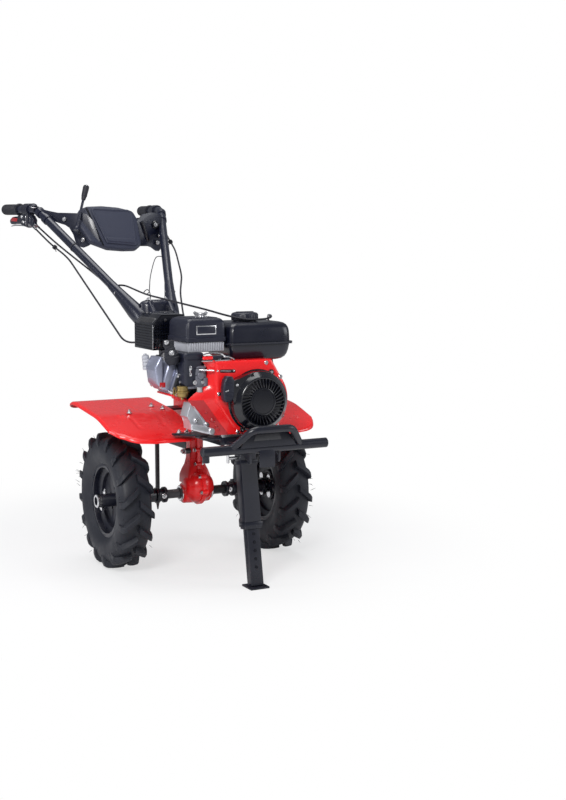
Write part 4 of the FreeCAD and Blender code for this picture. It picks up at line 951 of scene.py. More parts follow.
def intake():
    """Box in front of the head, breather, carburettor, bowl and fuel hose."""
    kit = Kit()
    kit.loft(box_loops(-182, -125, -345, -272, (
        (582, 5, 9), (585, 1.5, 10), (590, 0, 11), (662, 0, 11), (666, -2.5, 11), (674, -2.5, 11),
        (677, 0, 11))))
    kit.box((-183.5, -336, 622), (-179, -284, 652), 2)
    for z in (612, 632, 656):
        kit.box((-174, -346.2, z), (-132, -343, z + 2), 0.6)
    kit.done("intake_body_look", "plastic", 36)

    boot = Kit()
    profile = [(10, 0), (12, 3), (10.6, 6)]
    for k in range(5):
        r, at = 10.6 + k * 2.3, k * 9
        profile += [(r, at + 9), (r + 3, at + 12), (r + 3, at + 14)]
    start, end = Vector((-214, -298, 708)), Vector((-198, -306, 644))
    boot.spun(start, end - start, profile + [(20, 58), (16, 66)], 36)
    boot.box((-224, -306, 692), (-196, -286, 712), 3)
    boot.done("breather_boot", "rubber", 40)
    nuts = Kit()
    nuts.bolt((-221, -308, 707), -Y, 9, 5, 6)
    nuts.bolt((-211, -320, 678), Vector((-0.6, -0.8, 0)), 10, 5)
    nuts.spun((-182, -299, 611), -X, [(8, 0), (8, 3), (6, 5), (0, 5.6)], 20)
    nuts.spun((-182, -309, 592), -X, [(5, 0), (5, 2), (0, 3)], 16)
    nuts.rod((-166, -346, 642), (-166, -346, 612), 2.4)
    nuts.box((-170, -349, 630), (-162, -344, 640), 1)
    nuts.box((-169, -349, 612), (-162, -344, 620), 1)
    nuts.rod((-154, -354, 594), (-154, -342, 594), 6.5)
    nuts.rod((-130, -354, 594), (-130, -342, 594), 5)
    nuts.spun((-136, -344, 562), Z, [(4, -6), (5, 0), (11, 4), (11, 18)], 24)
    nuts.done("intake_nuts", "bright")

    body = Kit()
    body.prism(corner_loop([(-150, 578, 5), (-120, 576, 5), (-116, 600, 4), (-120, 640, 6),
                            (-146, 640, 8), (-150, 620, 6)], 4), Y, -346, 40, 2.5)
    body.rod((-135, -352, 612), (-135, -340, 612), 10)
    body.box((-128, -352, 582), (-114, -344, 606), 2)
    body.box((-170, -336, 574), (-118, -300, 602), 4)
    body.done("carburetor_look", "dull_cast", 36)
    bowl = Kit()
    bowl.spun((-180, -322, 551), Z, [(11, 0), (15, 2), (17, 6), (17.6, 12), (20, 13), (20, 17),
                                     (17, 18), (17, 32)], 40)
    bowl.spun((-180, -322, 544), Z, [(5, 0), (5, 8)], 6)
    hoop = oval(Vector((-203, -318, 568)), X * 3, Z * 11, 18)
    bowl.tube(hoop + hoop[:1], 1.7, 8, caps=False)
    bowl.done("carburetor_bowl", "brass", 36)
    feed = Kit()
    feed.tube([(-172, -300, 560), (-150, -296, 540), (-120, -292, 530), (-80, -250, 600),
               (-40, -210, 648)], 4)
    feed.box((-196, -330, 566), (-158, -300, 580), 3)
    feed.done("fuel_hose", "rubber")


def exhaust_pipe():
    """From the head up into the muffler."""
    kit = Kit()
    kit.tube([(-152, -192, 604), (-156, -172, 606), (-158, -152, 620), (-158, -138, 645),
              (-156, -132, 680)], 15, 24)
    kit.box((-176, -196, 582), (-134, -188, 632), 3)
    kit.done("exhaust_pipe", "dark", 40)


for part in (shroud, recoil, throttle_parts, crankcase, cylinder, intake, exhaust_pipe):
    part()


# ---------------------------------------------------------------- handlebar
def bent(points, radius, steps=14):
    """Points along straight runs joined by tangent arcs."""
    points = [Vector(p) for p in points]
    made = [points[0]]
    for before, here, after in zip(points, points[1:], points[2:]):
        a, b = before - here, after - here
        half = a.angle(b) / 2
        back = min(radius / tan(half), a.length * 0.48, b.length * 0.48)
        a, b = a.normalized(), b.normalized()
        middle = here + (a + b).normalized() * (back * tan(half) / sin(half))
        start, end = here + a * back - middle, here + b * back - middle
        turn = start.angle(end)
        for t in (k / steps for k in range(steps + 1)):
            made.append(middle + (sin((1 - t) * turn) * start + sin(t * turn) * end) / sin(turn))
    return made + [points[-1]]


PIVOT_Y, PIVOT_Z = 225, 735


def tube_line(s):
    """The handle tube's low end, its bend and its tip."""
    return [Vector((s * 57, 300, 753)), Vector((s * 235, 815, 1100)), Vector((s * 268, 1085, 1104))]


def tube_at(s, share):
    """A point on a tube's straight lower run, from 0 at its foot to 1 at its bend."""
    low, bend, _ = tube_line(s)
    return low.lerp(bend, share)


def sleeve(kit, at, axis, r, long, inner=15.1, seg=28):
    """A plain sleeve on a handle tube."""
    kit.lathe(at, axis, [(inner, 0), (r, 0), (r, long), (inner, long)], seg, True)


def handle_tubes():
    """The two bent tubes, each with a short plug in its tip."""
    kit = Kit()
    for _, s in SIDES:
        path = bent(tube_line(s), 110)
        kit.tube(path, 15, 28)
        kit.tube([path[-1] - Y * 0.5, path[-1] + (path[-1] - path[-2]).normalized() * 2], 13.5, 28)
    kit.done("handle_tubes_look", "satin", 50, "handlebar")


def handlebar_base():
    """The cross piece with its two sockets, on the pivot of handlebar_tilt, and its support."""
    kit = Kit()
    pivot = Y * PIVOT_Y + Z * PIVOT_Z
    for _, s in SIDES:
        low, bend, _ = tube_line(s)
        heading = (bend - low).normalized()
        flat = X.cross(heading).normalized()
        side = flat.cross(heading)
        kit.loft([oval(low + heading * run - flat * (tall - 15) * 0.55, side * wide, flat * tall, 28)
                  for run, tall, wide in ((-26, 19, 22), (-18, 27, 25), (0, 31, 26), (30, 30, 25),
                                          (60, 27, 22), (95, 23, 19), (130, 19, 17),
                                          (160, 16.5, 16.2), (172, 15.4, 15.4))])
        kit.spun(pivot + X * s * 26, X * s, [(30, 0), (30, 12), (27, 15), (16, 15), (15, 13)], 40)
        kit.prism([(214, 712), (262, 724), (290, 724), (290, 790), (262, 796), (232, 764), (218, 752)],
                  X, s * 26, s * 15, 3, 3)
    loops = []
    ends = ((62, 30), (58, 20), (50, 10), (38, 3), (22, 0))
    for x, i in [(-x, i) for x, i in ends] + list(reversed(ends)):
        corners = [(262 + i, 727 + i * 0.6, 14), (324 - i, 727 + i * 0.6, 20),
                   (318 - i, 800 - i * 0.5, 30), (272 + i, 798 - i * 0.5, 24)]
        loops.append([Vector((x, p.x, p.y)) for p in corner_loop(corners, 8)])
    kit.loft(loops)
    kit.done("handlebar_base_look", "satin", 40, "handlebar")
    bolts = Kit()
    for _, s in SIDES:
        bolts.bolt(pivot + X * s * 40.5, X * s, 18, 9)
        bolts.bolt((s * 30, 292, 798), Z, 12, 5, 3)
    for _, s in SIDES:
        at = tube_at(s, 0.19)
        bolts.rod(at - X * 19, at + X * 19, 4)
    bolts.done("handlebar_base_bolts", "bright", body="handlebar")
    rounded("handlebar_support", 3)
    web = Kit()
    for _, s in SIDES:
        web.prism([(61, 520), (61, 600), (120, 660), (190, 712), (176, 694), (110, 620), (74, 560)],
                  X, s * 26, s * 4, 1)
    web.done("support_ribs", "red")


def grips():
    """Ribbed rubber grips, lathed along X and laid on the tubes."""
    kit = Kit()
    profile = [(15.2, -127), (20, -127), (22, -124), (22, -119), (18.6, -116)]
    for at in (-112 + k * 6.2 for k in range(17)):
        profile += [(18.0, at), (19.4, at + 1), (19.4, at + 4), (18.0, at + 5)]
    profile += [(18.6, -6), (19, -1), (17, 2.4), (12, 3), (0, 3), (0, -1), (15.2, -1)]
    for _, s in SIDES:
        _, bend, tip = tube_line(s)
        made = kit.lathe((0, 0, 0), X, profile, 40, True)
        kit.move(Matrix.Translation(tip) @ X.rotation_difference(tip - bend).to_matrix().to_4x4(), made)
    kit.done("hand_grips_look", "rubber", 30, "handlebar")


def lever_sets():
    """Clamp, lever housing and long lever under each grip, and the throttle knob at the right."""
    pods, metal, reds = Kit(), Kit(), Kit()
    for _, s in SIDES:
        x = s * 243.7
        _, bend, tip = tube_line(s)
        axis = (tip - bend).normalized()
        pods.lathe(tip - axis * 222, axis, [(15.1, 0), (20, 0), (21.4, 1.5), (21.4, 42), (20, 44),
                                            (15.1, 44)], 36, True)
        for half, r, outline in (
                (15, 4, [(866, 1084), (872, 1090), (902, 1090), (908, 1082), (908, 1052), (900, 1041),
                         (878, 1039), (866, 1046)]),
                (13, 5, [(902, 1092), (946, 1088), (950, 1070), (938, 1056), (904, 1050)]),
                (9, 4, [(868, 1080), (836, 1078), (828, 1066), (834, 1054), (868, 1056)]),
                (10, 6, [(812, 1064), (836, 1080), (946, 1090), (1000, 1080), (1004, 1072),
                         (950, 1046), (880, 1036), (820, 1044)])):
            pods.prism(outline, X, x - half, half * 2, r, 3)
        pods.rod((x - 17, 893, 1058), (x + 17, 893, 1058), 9)
        pods.rod((x, 868, 1052), (x, 812, 1043), 9.5)
        metal.rod((x, 812, 1043), (x, 806, 1042), 7.5)
        pods.loft([oval(Vector((x, y, z)), X * wide, Z * tall, 24) for y, z, wide, tall in (
            (896, 1058, 9, 8), (930, 1057, 9, 9), (965, 1061, 9, 11), (1000, 1064, 9, 13),
            (1040, 1065, 9, 14), (1075, 1064, 9, 14), (1094, 1062, 8, 11), (1103, 1060, 5, 6))])
        metal.tube([(x, 900, 1043), (x, 980, 1046), (x, 1060, 1047), (x, 1104, 1044)],
                   [3, 2.6, 2.4, 1.6])
        metal.bolt((x + s * 15, 893, 1058), X * s, 10, 4)
        metal.bolt((x + s * 13, 926, 1076), X * s, 9, 3, 0)
        metal.bolt((x, 887, 1089), Z, 8, 3, 0)
        metal.screw((x - s * 15, 893, 1058), -X * s, 5, 2)
        metal.box((x + s * 15, 872, 1046), (x + s * 16.4, 876, 1080), 0.6)
        metal.box((x + s * 9, 842, 1058), (x + s * 10.4, 846, 1074), 0.6)
        reds.prism([(1000, 1072), (1060, 1076), (1080, 1070), (1076, 1062), (1004, 1060)],
                   X, x + s * 6.5, s * 2.6)
    knob, way = Vector((-250, 812, 1100)), Vector((0, -0.35, 1))
    pods.spun(knob, way, [(7, -6), (8, 4), (12, 7), (13, 12), (12, 17), (7, 20), (0, 21)], 28)
    metal.lathe(knob, way, [(12.4, 8), (13.6, 9), (13.6, 11), (12.4, 12)], 28, True)
    pods.done("hand_levers_look", "plastic", 36, "handlebar")
    metal.done("lever_fittings", "bright", body="handlebar")
    reds.done("lever_red_marks", "dark_red", body="handlebar")


def shrunk(corners, by):
    """Corners of the same outline drawn in by `by`, each with its rounding."""
    flat = [Vector(c[:2]) for c in corners]
    made = []
    for i, (x, y, r) in enumerate(corners):
        before = (flat[i] - flat[i - 1]).normalized()
        after = (flat[(i + 1) % len(flat)] - flat[i]).normalized()
        inward = Vector((-(before + after).y, (before + after).x)).normalized()
        inward *= by / max(0.35, cos(before.angle(after) / 2))
        made.append((x + inward.x, y + inward.y, max(r - by * 0.4, 2)))
    return made


def control_panel():
    """Shell, hood and blank plate, and two dark strips beside the hood: painted shade for the gear gate
    and for the groove along the hood's left edge.
    """
    lean = Matrix.Translation((0, 690, 1034)) @ turned(-28)

    def layers(kit, corners, steps):
        """Lofts an outline on the panel through (drawn in, out of the face) steps."""
        kit.loft([[lean @ Vector((p.x, out, p.y)) for p in corner_loop(shrunk(corners, by), 7)]
                  for by, out in steps])

    kit = Kit()
    layers(kit, [(-124, 0, 12), (-98, -57, 16), (-38, -83, 20), (20, -88, 60), (68, -87, 24),
                 (92, -68, 18), (95, 36, 18), (84, 66, 22), (30, 80, 60), (-30, 85, 60),
                 (-86, 82, 24), (-114, 70, 18), (-126, 50, 14)],
           ((5, 12), (1, 9), (0, 4), (0, -4), (1, -8), (4, -10.8), (8, -12)))
    layers(kit, [(-40, -66, 6), (74, -77, 10), (81, 56, 12), (64, 68, 12), (-64, 74, 14), (-76, 66, 10)],
           ((0, -10), (0, -13.6), (1.5, -16), (4, -17), (7, -16.6), (9, -14.8)))
    layers(kit, [(-33, -60, 4), (67, -69, 4), (68, -50, 4), (-38, -43, 4)],
           ((0, -14), (0, -16.6), (1.5, -18.4), (3, -18.6)))
    kit.done("control_panel_look", "panel", 32, "handlebar")
    # Thin gloss black strips on the face stand for the gear gate and for the groove left of the hood:
    # painted shade, not openings.
    slot = Kit()
    for outline in ([(-110, 46), (-102, 48), (-90, 8), (-98, 5)],
                    [(-92, 72), (-84, 72), (-50, -74), (-56, -74)]):
        slot.loft([[lean @ Vector((x, out, z)) for x, z in outline] for out in (-12.4, -9.4)])
    slot.done("gate_and_groove_painted_shade", "gloss", body="handlebar")


def panel_brackets():
    """The two plates from the tubes to the panel, with their clamps, spacers and bolts."""
    plates, dark, bright = Kit(), Kit(), Kit()
    for rear, slope, outline in (
            (667, 0.31, [(88, 1058), (102, 1068), (112, 1084), (147, 1090), (186, 1092), (200, 1080),
                         (201, 1030), (194, 960), (186, 953), (172, 954), (152, 968), (138, 972),
                         (104, 971), (84, 984)]),
            (605, -0.78, [(-232, 1102), (-206, 1094), (-182, 1087), (-150, 1087), (-100, 1085),
                          (-80, 1060), (-60, 986), (-80, 985), (-96, 972), (-109, 966), (-124, 971),
                          (-133, 989), (-137, 1012), (-148, 1036), (-160, 1046), (-176, 1051),
                          (-196, 1060), (-218, 1078)])):
        loop = [Vector((x, rear + slope * x, z)) for x, z in outline]
        plates.slab(loop, Vector((slope, -1, 0)).normalized() * 4, 1)
    for _, s in SIDES:
        way = (tube_at(s, 1) - tube_at(s, 0)).normalized()
        for share in (0.90, 0.965):
            sleeve(plates, tube_at(s, share) - way * 9, way, 18, 18)
    plates.done("panel_brackets_look", "satin", 36, "handlebar")
    dark.tube([(111, 695, 1058), (125, 699, 1024), (138, 703, 992)], 6.5)
    for at, r in (((170, 714, 1048), 14), ((188, 720, 1008), 8), ((178, 717, 984), 8)):
        dark.spun(at, -Y, [(r, -6), (r, 5), (r * 0.8, 8)], 24)
    aside = Vector((-0.6, -0.8, 0))
    for at in ((-166, 726, 1065), (-112, 686, 994)):
        dark.spun(at, aside, [(8, 0), (8, 3)], 24)
    dark.done("bracket_spacers", "gloss", body="handlebar")
    bright.bolt_row(((170, 706, 1048), (188, 712, 1008), (178, 709, 984)), -Y, 9, 4, 2)
    bright.bolt_row(((-168, 723, 1065), (-114, 683, 994)), aside, 9, 4, 2)
    bright.done("bracket_bolts", "bright", body="handlebar")


def gear_lever():
    """A rod with a ribbed knob, which ends in a bright tip."""
    kit = Kit()
    low, high = Vector((-144, 663, 1030)), Vector((-93, 699, 1177))
    way = (high - low).normalized()
    kit.tube([low, low.lerp(high, 0.5), high - way * 44], [5.5, 4.6, 4.4], 16)
    kit.spun(low - way * 4, way, [(9, 0), (9, 10), (6, 14)], 24)
    kit.done("gear_lever_look", "satin", 40, "handlebar")
    knob = Kit()
    profile = [(6, -50), (7.5, -46), (8.6, -38)]
    for k in range(6):
        at, wide = -36 + k * 5.4, 9.8 + k * 0.2
        profile += [(9.0 + k * 0.3, at), (wide, at + 1), (wide, at + 3.6)]
    knob.spun(high, way, profile + [(10.6, -1), (9.6, 3), (0, 3.2)])
    knob.done("gear_knob", "rubber", 36, "handlebar")
    tip = Kit()
    tip.spun(high, way, [(8, 3), (8.2, 4), (6, 6), (0, 6.4)], 24)
    tip.done("gear_knob_tip", "bright", body="handlebar")


# ---------------------------------------------------------------- cables
# each cable's radius in millimetres, and its route in metres as in the part's source
ROUTES = {
    "clutch_cable": (3, [(-0.250, 0.8645, 1.0471), (-0.250, 0.8385, 1.0471), (-0.219, 0.714, 0.977),
                         (-0.186, 0.640, 0.935), (-0.205, 0.050, 0.676), (-0.136, 0.024, 0.690),
                         (-0.062, 0.004, 0.684), (-0.022, 0, 0.663), (-0.022, 0, 0.617)]),
    "throttle_cable": (3, [(-0.238, 0.8645, 1.0511), (-0.238, 0.8385, 1.0511), (-0.208, 0.704, 0.985),
                           (-0.178, 0.622, 0.940), (-0.132, 0.530, 0.882), (-0.096, 0.466, 0.836),
                           (-0.070, 0.420, 0.846), (-0.030, 0.310, 0.815), (-0.012, -0.130, 0.785),
                           (-0.004, -0.240, 0.774), (0.030, -0.308, 0.764), (0.092, -0.312, 0.764),
                           (0.142, -0.258, 0.768), (0.158, -0.190, 0.770), (0.187, -0.152, 0.734),
                           (0.192, -0.150, 0.640), (0.184, -0.190, 0.584), (0.160, -0.226, 0.566),
                           (0.128, -0.226, 0.566)]),
    "shift_cable": (3, [(0.250, 0.8645, 1.0471), (0.250, 0.8385, 1.0471), (0.248, 0.790, 1.010),
                        (0.222, 0.650, 0.955), (0.180, 0.500, 0.870), (0.130, 0.400, 0.815),
                        (0.084, 0.270, 0.745), (0.046, 0.130, 0.705), (0.026, 0.052, 0.690),
                        (0.020, 0.030, 0.663), (0.020, 0.030, 0.617)]),
    "stop_wire": (1.5, [(0.1351, 0.5712, 0.9357), (0.118, 0.575, 0.9385), (0.104, 0.566, 0.921),
                        (0.088, 0.549, 0.891), (0.069, 0.520, 0.862), (0.053, 0.485, 0.836),
                        (0.034, 0.442, 0.814), (0, 0.400, 0.811), (-0.022, 0.358, 0.820),
                        (-0.022, 0.320, 0.834), (-0.020, 0.300, 0.822), (-0.020, 0.300, 0.800)]),
}


def smooth_line(name, route):
    """Points read from one smooth curve, in millimetres; long runs get points of their own."""
    places = [Vector(route[0])]
    for a, b in zip(route, route[1:]):
        a, b = Vector(a), Vector(b)
        parts = 1 + int((b - a).length / 0.12)
        places += [a.lerp(b, (k + 1) / parts) for k in range(parts)]
    curve = bpy.data.curves.new(name + "_line", "CURVE")
    curve.dimensions = "3D"
    spline = curve.splines.new("NURBS")
    spline.points.add(len(places) - 1)
    for point, place in zip(spline.points, places):
        point.co = (*place, 1)
    spline.order_u = 3
    spline.use_endpoint_u = True
    spline.resolution_u = 8
    holder = bpy.data.objects.new(name + "_line", curve)
    mesh = bpy.data.meshes.new_from_object(holder)
    points = [v.co * 1000 for v in mesh.vertices]
    bpy.data.objects.remove(holder)
    return [p for i, p in enumerate(points) if i == 0 or (p - points[i - 1]).length > 0.05]


def point_at(line, far):
    """The point at a distance along a line."""
    for a, b in zip(line, line[1:]):
        run = (b - a).length
        if far <= run:
            return a.lerp(b, far / run)
        far -= run
    return line[-1]


def stretch_of(line, start, end):
    """Points along the part of a line between two distances from its start."""
    steps = max(2, round((end - start) / 6))
    return [point_at(line, start + (end - start) * k / steps) for k in range(steps + 1)]


def cables():
    """The four cables; the first three run between the chassis and the tilting handlebar, on neither
    body.
    """
    lines = {name: smooth_line(name, route) for name, (_, route) in ROUTES.items()}
    for name, (radius, _) in ROUTES.items():
        kit = Kit()
        kit.tube(lines[name], radius, 10)
        if name == "stop_wire":
            kit.done(name + "_look", "rubber", 60, "handlebar")
        else:
            made = kit.done(name + "_look", "rubber", 60, None)
            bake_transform(made)
    ties = Kit()
    for name, at in (("clutch_cable", 190), ("shift_cable", 150)):
        spot = stretch_of(lines[name], at, at + 16)
        ties.lathe(spot[0], spot[-1] - spot[0], [(2.6, -4), (8, -4), (8, 4), (2.6, 4)], 14, True)
        ties.tube([spot[0], spot[0] + Vector((-spot[0].x * 0.03, 6, -16))], 1.2, 6)
    at = tube_at(-1, 0.62)
    way = (tube_at(-1, 1) - at).normalized()
    sleeve(ties, at - way * 2.5, way, 16.6, 5)
    ties.done("cable_ties", "rubber", body="handlebar")
    adjusters = Kit()
    for name in ("clutch_cable", "throttle_cable", "shift_cable"):
        adjusters.tube(stretch_of(lines[name], 4, 26), 5.5)
        adjusters.tube(stretch_of(lines[name], 30, 60), 4.2)
    adjusters.done("cable_adjusters", "bright", body="handlebar")
    ferrules = Kit()
    line = lines["throttle_cable"]
    length = sum((b - a).length for a, b in zip(line, line[1:]))
    for a, b, r in ((330, 300, 4.2), (24, 4, 5), (190, 150, 4)):
        ferrules.tube(stretch_of(line, length - a, length - b), r)
    for at in ((-22, 0, 618), (20, 30, 618)):
        ferrules.lathe(at, Z, [(3.2, 0), (7, 0), (7, 10), (5, 12), (5, 24), (3.2, 24)], 16, True)
    ferrules.done("cable_ferrules", "bright")


for part in (handle_tubes, handlebar_base, grips, lever_sets, control_panel, panel_brackets,
             gear_lever, cables):
    part()


# ---------------------------------------------------------------- gearbox, mount, hubs
def gearbox():
    """Axle case, column and upper case, with ribs, seam lugs, bolts and plugs."""
    kit = Kit()
    case = [(0, 45), (24, 45), (29, 42), (32, 36), (41, 29), (48, 18), (50.5, 5.5), (57, 5.5)]
    kit.lathe((0, -20, 229), X, [(r, -x) for r, x in case] + case[::-1], 64)
    kit.spun((0, 0, WHEEL_Z), X, [(28, -46), (32, -42), (33, -20), (33, 20), (32, 42), (28, 46)], 48)
    kit.loft([level_loop([(-wide, -deep, 9), (wide, -deep, 9), (wide, deep, 9), (-wide, deep, 9)], z)
              for z, wide, deep in ((238, 38, 42), (262, 38, 40), (280, 33, 34), (296, 27, 27),
                                    (315, 23.5, 23), (335, 22, 21.5), (392, 22, 21.5),
                                    (412, 25, 24), (430, 34, 30))])
    kit.prism([(-30, 262), (-32, 280), (-31, 410), (-40, 430), (28, 430), (24, 262)],
              X, -5, 10, 1.5)
    seam = [(-27, z) for z in (300, 345, 392)]
    rim = [(-20 + 57 * cos(radians(turn)), 229 + 57 * sin(radians(turn)))
           for turn in range(-60, 240, 50)]
    for y, z in seam + rim:
        kit.rod((-10, y, z), (10, y, z), 8)
    kit.box((-50, -70, 420), (80, 60, 604), 16, 4)
    for x in (-20, 10, 40):
        kit.box((x, -72, 440), (x + 6, -66, 590), 2)
    for x, y in ((-22, 0), (20, 30)):
        kit.rod((x, y, 600), (x, y, 617), 8)
    kit.box((-52, 40, 500), (-49, 58, 560), 1)
    kit.done("gearbox_housing_look", "red", 36)

    bolts = Kit()
    for y, z in seam:
        bolts.bolt((-10, y, z), -X, 10, 5, 0)
        bolts.bolt((10, y, z), X, 10, 5, 3)
    bolts.bolt_row([(-10, y, z) for y, z in rim], -X, 9, 5, 0)
    bolts.bolt_row([(x, y, 604) for x in (-40, 70) for y in (-56, 46)], Z, 12, 6, 0)
    bolts.bolt((-44, -22, 343), -X, 14, 8)
    for _, s in SIDES:
        bolts.spun((s * 46, 0, WHEEL_Z), X * s, [(24, 0), (25, 2), (25, 6), (23, 8)], 40)
    bolts.done("gearbox_bolts", "bright")
    plug = Kit()
    plug.rod((-26, -22, 343), (-44, -22, 343), 9)
    plug.rod((0, 22, 470), (0, 66, 470), 12)
    plug.done("gearbox_plugs", "dark")


def mount():
    """Engine plate, its tongues and rails, and the bolts of the fenders."""
    kit = Kit()
    kit.box((-70, -345, 421), (130, -70, 429), 2)
    kit.prism([(-70, -300), (-118, -300), (-124, -336), (-112, -345), (-70, -345)], Z, 424, 8, 1.5)
    for x in (-66, 118):
        kit.box((x, -343, 404), (x + 8, -72, 424))
    kit.box((-70, -346, 408), (130, -340, 424))
    kit.prism([(-100, -318), (-158, -250), (-176, -250), (-176, -232), (-140, -226), (-70, -250)],
              Z, 430, 6, 1.5)
    kit.done("engine_mount_look", "black", 36)
    rounded("fender_brackets", 1)
    bolts = Kit()
    bolts.bolt_row(((-158, -242, 437), (-133, -242, 436), (-108, -236, 436), (-240, -60, 479),
                    (-120, -30, 481), (-140, 10, 486), (268, -60, 479)), Z, 11, 5)
    bolts.done("fender_bolts", "bright")


def hubs():
    """Hub, rim and half axle on each side, with pins, collars and the valve stem."""
    end, flange, lock_pin, seal = 327, 310, 299, 112
    for side, s in SIDES:
        wheel = side + "_wheel"
        rounded(side + "_hub", 1.2, "black")
        rounded(side + "_rim", 0.8, "black")
        rounded(side + "_axle", 0.8, "dark")
        kit = Kit()
        kit.lathe((s * end, 0, WHEEL_Z), -X * s,
                  [(13, -1), (19, -1), (20.4, 0.6), (20.4, 12), (20, 12)], 36)
        kit.bolt((s * flange, 0, WHEEL_Z - 20), -Z, 10, 5)
        kit.rod((s * lock_pin, 0, WHEEL_Z + 20), (s * lock_pin, 0, WHEEL_Z + 27), 6)
        kit.bolt((s * lock_pin, 0, WHEEL_Z + 26), Z, 9, 4)
        kit.bolt((s * seal, -20, WHEEL_Z), -Y, 11)
        kit.rod((s * seal, 20, WHEEL_Z), (s * seal, 31, WHEEL_Z), 3)
        kit.done(side + "_hub_pins", "bright", body=wheel)
        collar = Kit()
        for x in (100, 124, 232):
            collar.lathe((s * x, 0, WHEEL_Z), X * s, [(20, 0), (24, 0), (24.6, 1), (24.6, 9),
                                                      (24, 10), (20, 10)], 36, True)
        for turn in turns(5, pi / 2 + 0.3):
            collar.spun(on_wheel(s * (WHEEL_X + 20), 100, turn), X * s, [(3.5, 0), (3.5, 2)], 12)
        collar.tube([on_wheel(s * x, r, 0.8) for x, r in ((262, 84), (272, 74), (284, 68))],
                    [4, 3.4, 3])
        collar.done(side + "_hub_collars", "black", body=wheel)


# ---------------------------------------------------------------- bumper, stand, hitch
def bumper():
    """Cross bar with a tow lug, hoop with a blank plate, and the two arms."""
    kit = Kit()
    y, z, half, arm = -487, 417, 196, 45
    kit.spun((0, y, z), X, [(12, -half), (14, 1.5 - half), (14, half - 1.5), (12, half)])
    kit.rod((-184, y, z - 8), (-184, y, z - 30), 10)
    arch = [(-112, y + 2, z - 2), (-62, -530, 474), (62, -530, 474), (112, y + 2, z - 2)]
    kit.tube(bent(arch, 34, 12), 10.5, 20)
    kit.prism([(-88, z + 4), (-62, 462), (-52, 468), (52, 468), (62, 462), (88, z + 4)],
              Y, -505, 4, 1)
    for x in (-arm, arm):
        kit.box((x - 15, y, 414.5), (x + 15, -300, 421))
        kit.prism([(y, 416), (-380, 416), (-480, 372), (y, 380)], X, x - 3, 6, 1)
    kit.box((-24, -500, 362), (24, -494, 418), 2)
    kit.done("bumper_look", "black", 40)
    bolts = Kit()
    bolts.bolt_row([(x, at, 414.5) for x in (-arm, arm) for at in (-330, -312)], -Z)
    bolts.done("bumper_bolts", "bright")
    label = Kit()
    label.prism([(-46, 440), (-40, 458), (34, 458), (40, 440)], Y, -506.4, 3, 0.6)
    label.done("bumper_blank_plate", "dark")


def stand_and_hitch():
    """Front leg in its socket, and the hitch bracket with the stake."""
    for name, width in (("stand_socket", 1.5), ("stand_leg", 1.5), ("hitch_bracket", 2),
                        ("drag_stake", 0.6)):
        rounded(name, width)
    kit = Kit()
    lean = Matrix.Translation((0, -352, 410)) @ turned(-10)
    for low, high in ((-240, -228), (-60, -50)):
        for _, s in SIDES:
            kit.box((-27.5, s * 21 - 1.5, low), (27.5, s * 21 + 1.5, high), 1)
            kit.box((s * 26 - 1.5, -22, low), (s * 26 + 1.5, 22, high), 1)
    kit.move(lean)
    kit.done("stand_bands", "black", 36)
    bolts = Kit()
    at = lean @ Vector((-26, 0, -40))
    bolts.rod(at, at - X * 30, 5)
    bolts.rod(at - X * 30 - Z * 14, at - X * 30 + Z * 14, 4)
    bolts.bolt((0, 284, 362), -Y, 13, 7)
    bolts.bolt((24, 306, 350), X, 14, 9, 8)
    bolts.bolt_row([(x, y, 411) for y in (-318, -386) for x in (-48, 48)], -Z, 11, 5, 0)
    bolts.done("stand_bolts", "bright")
    # The leg's holes are gloss black discs on its face: painted shade in place of openings.
    holes = Kit()
    for z in (-262 - k * 24 for k in range(5)):
        holes.spun(lean @ Vector((0, -15.2, z)), lean.to_3x3() @ -Y, [(4.5, -0.5), (4.5, 0.4)], 20)
    holes.done("stand_holes_painted_shade", "gloss", body="front_stand")


for part in (gearbox, mount, hubs, bumper, stand_and_hitch):
    part()


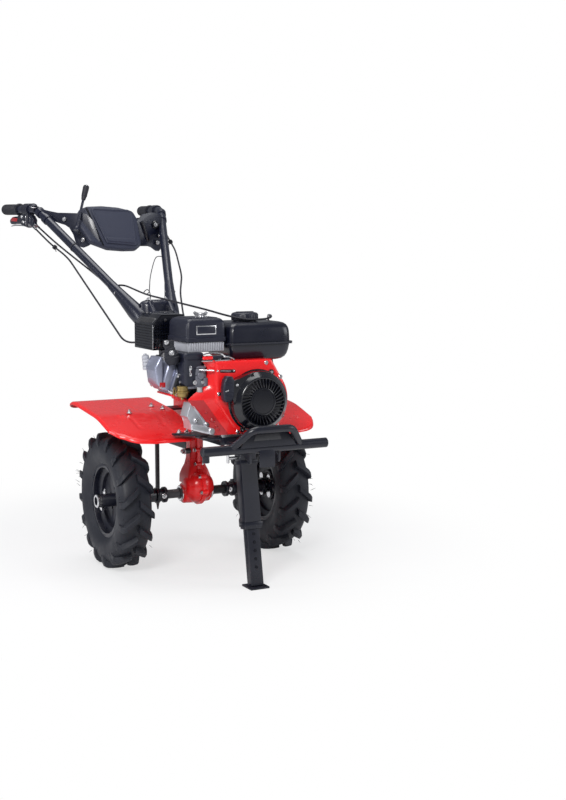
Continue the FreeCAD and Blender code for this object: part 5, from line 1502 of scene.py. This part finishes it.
# ---------------------------------------------------------------- stage
def stage():
    """A round pale floor that fades to white away from the machine."""
    bm = bmesh.new()
    bmesh.ops.create_circle(bm, cap_ends=True, radius=14, segments=96)
    bmesh.ops.translate(bm, verts=bm.verts, vec=(0, 0, -0.0003))
    mesh = bpy.data.meshes.new("studio_floor")
    bm.to_mesh(mesh)
    bm.free()
    floor = bpy.data.objects.new("studio_floor", mesh)
    SHOW(floor)
    look = bpy.data.materials.new("studio_white")
    look.use_nodes = True
    tree = look.node_tree
    shader = tree.nodes["Principled BSDF"]
    shader.inputs["Base Color"].default_value = (0.80, 0.80, 0.81, 1)
    shader.inputs["Roughness"].default_value = 0.75
    white = node(tree, "ShaderNodeEmission", Color=(1, 1, 1, 1), Strength=1.0)
    far = node(tree, "ShaderNodeVectorMath", operation="LENGTH")
    tree.links.new(node(tree, "ShaderNodeTexCoord").outputs["Object"], far.inputs[0])
    fade = ramp(tree, far.outputs["Value"], 0.3, 1.3, 0.6, 1, "SMOOTHERSTEP")
    seen = node(tree, "ShaderNodeLightPath").outputs["Is Camera Ray"]
    shader_mix(tree, product(tree, fade, seen), shader.outputs["BSDF"], white.outputs["Emission"],
               "Material Output")
    mesh.materials.append(look)


def lamp(name, where, aim, size, watts, tint=(1, 1, 1)):
    """A rectangular area light."""
    data = bpy.data.lights.new(name, "AREA")
    data.shape = "RECTANGLE"
    data.size, data.size_y = size
    data.energy = watts
    data.color = tint
    made = bpy.data.objects.new(name, data)
    SHOW(made)
    made.location = where
    made.rotation_euler = (Vector(aim) - Vector(where)).to_track_quat("-Z", "Y").to_euler()


def studio():
    """White to the camera, a soft blue-grey to the machine, and four lamps."""
    world = bpy.data.worlds.new("studio")
    bpy.context.scene.world = world
    world.use_nodes = True
    tree = world.node_tree
    back = tree.nodes["Background"]
    back.inputs["Color"].default_value = (0.90, 0.93, 1.0, 1)
    back.inputs["Strength"].default_value = 0.26
    white = node(tree, "ShaderNodeBackground", Color=(1, 1, 1, 1), Strength=1.0)
    seen = node(tree, "ShaderNodeLightPath").outputs["Is Camera Ray"]
    shader_mix(tree, seen, back.outputs["Background"], white.outputs["Background"], "World Output")
    lamp("key", (-2.6, -3.4, 3.0), (0, -0.2, 0.5), (1.4, 1.4), 165, (1.0, 0.99, 0.98))
    lamp("fill", (3.4, -2.6, 1.8), (0, -0.1, 0.5), (2.0, 1.6), 50, (0.95, 0.97, 1.0))
    lamp("top", (0.0, 0.3, 3.6), (0, 0, 0.5), (2.2, 2.2), 60)
    lamp("side", (-3.6, 0.4, 1.4), (0, 0, 0.6), (0.8, 2.0), 35, (0.95, 0.96, 1.0))


def camera():
    """The place, aim and lens that were fitted to the photograph."""
    data = bpy.data.cameras.new("camera")
    data.lens = 59.0
    data.sensor_width = 36
    made = bpy.data.objects.new("camera", data)
    SHOW(made)
    made.location = (-1.66, -3.9905, 0.995)
    pitch = radians(6.98)
    aim = Vector((0.469 * cos(pitch), 0.883 * cos(pitch), -sin(pitch)))
    made.rotation_euler = aim.to_track_quat("-Z", "Y").to_euler()
    bpy.context.scene.camera = made
    bpy.context.scene.view_settings.view_transform = "Standard"


stage()
studio()
camera()
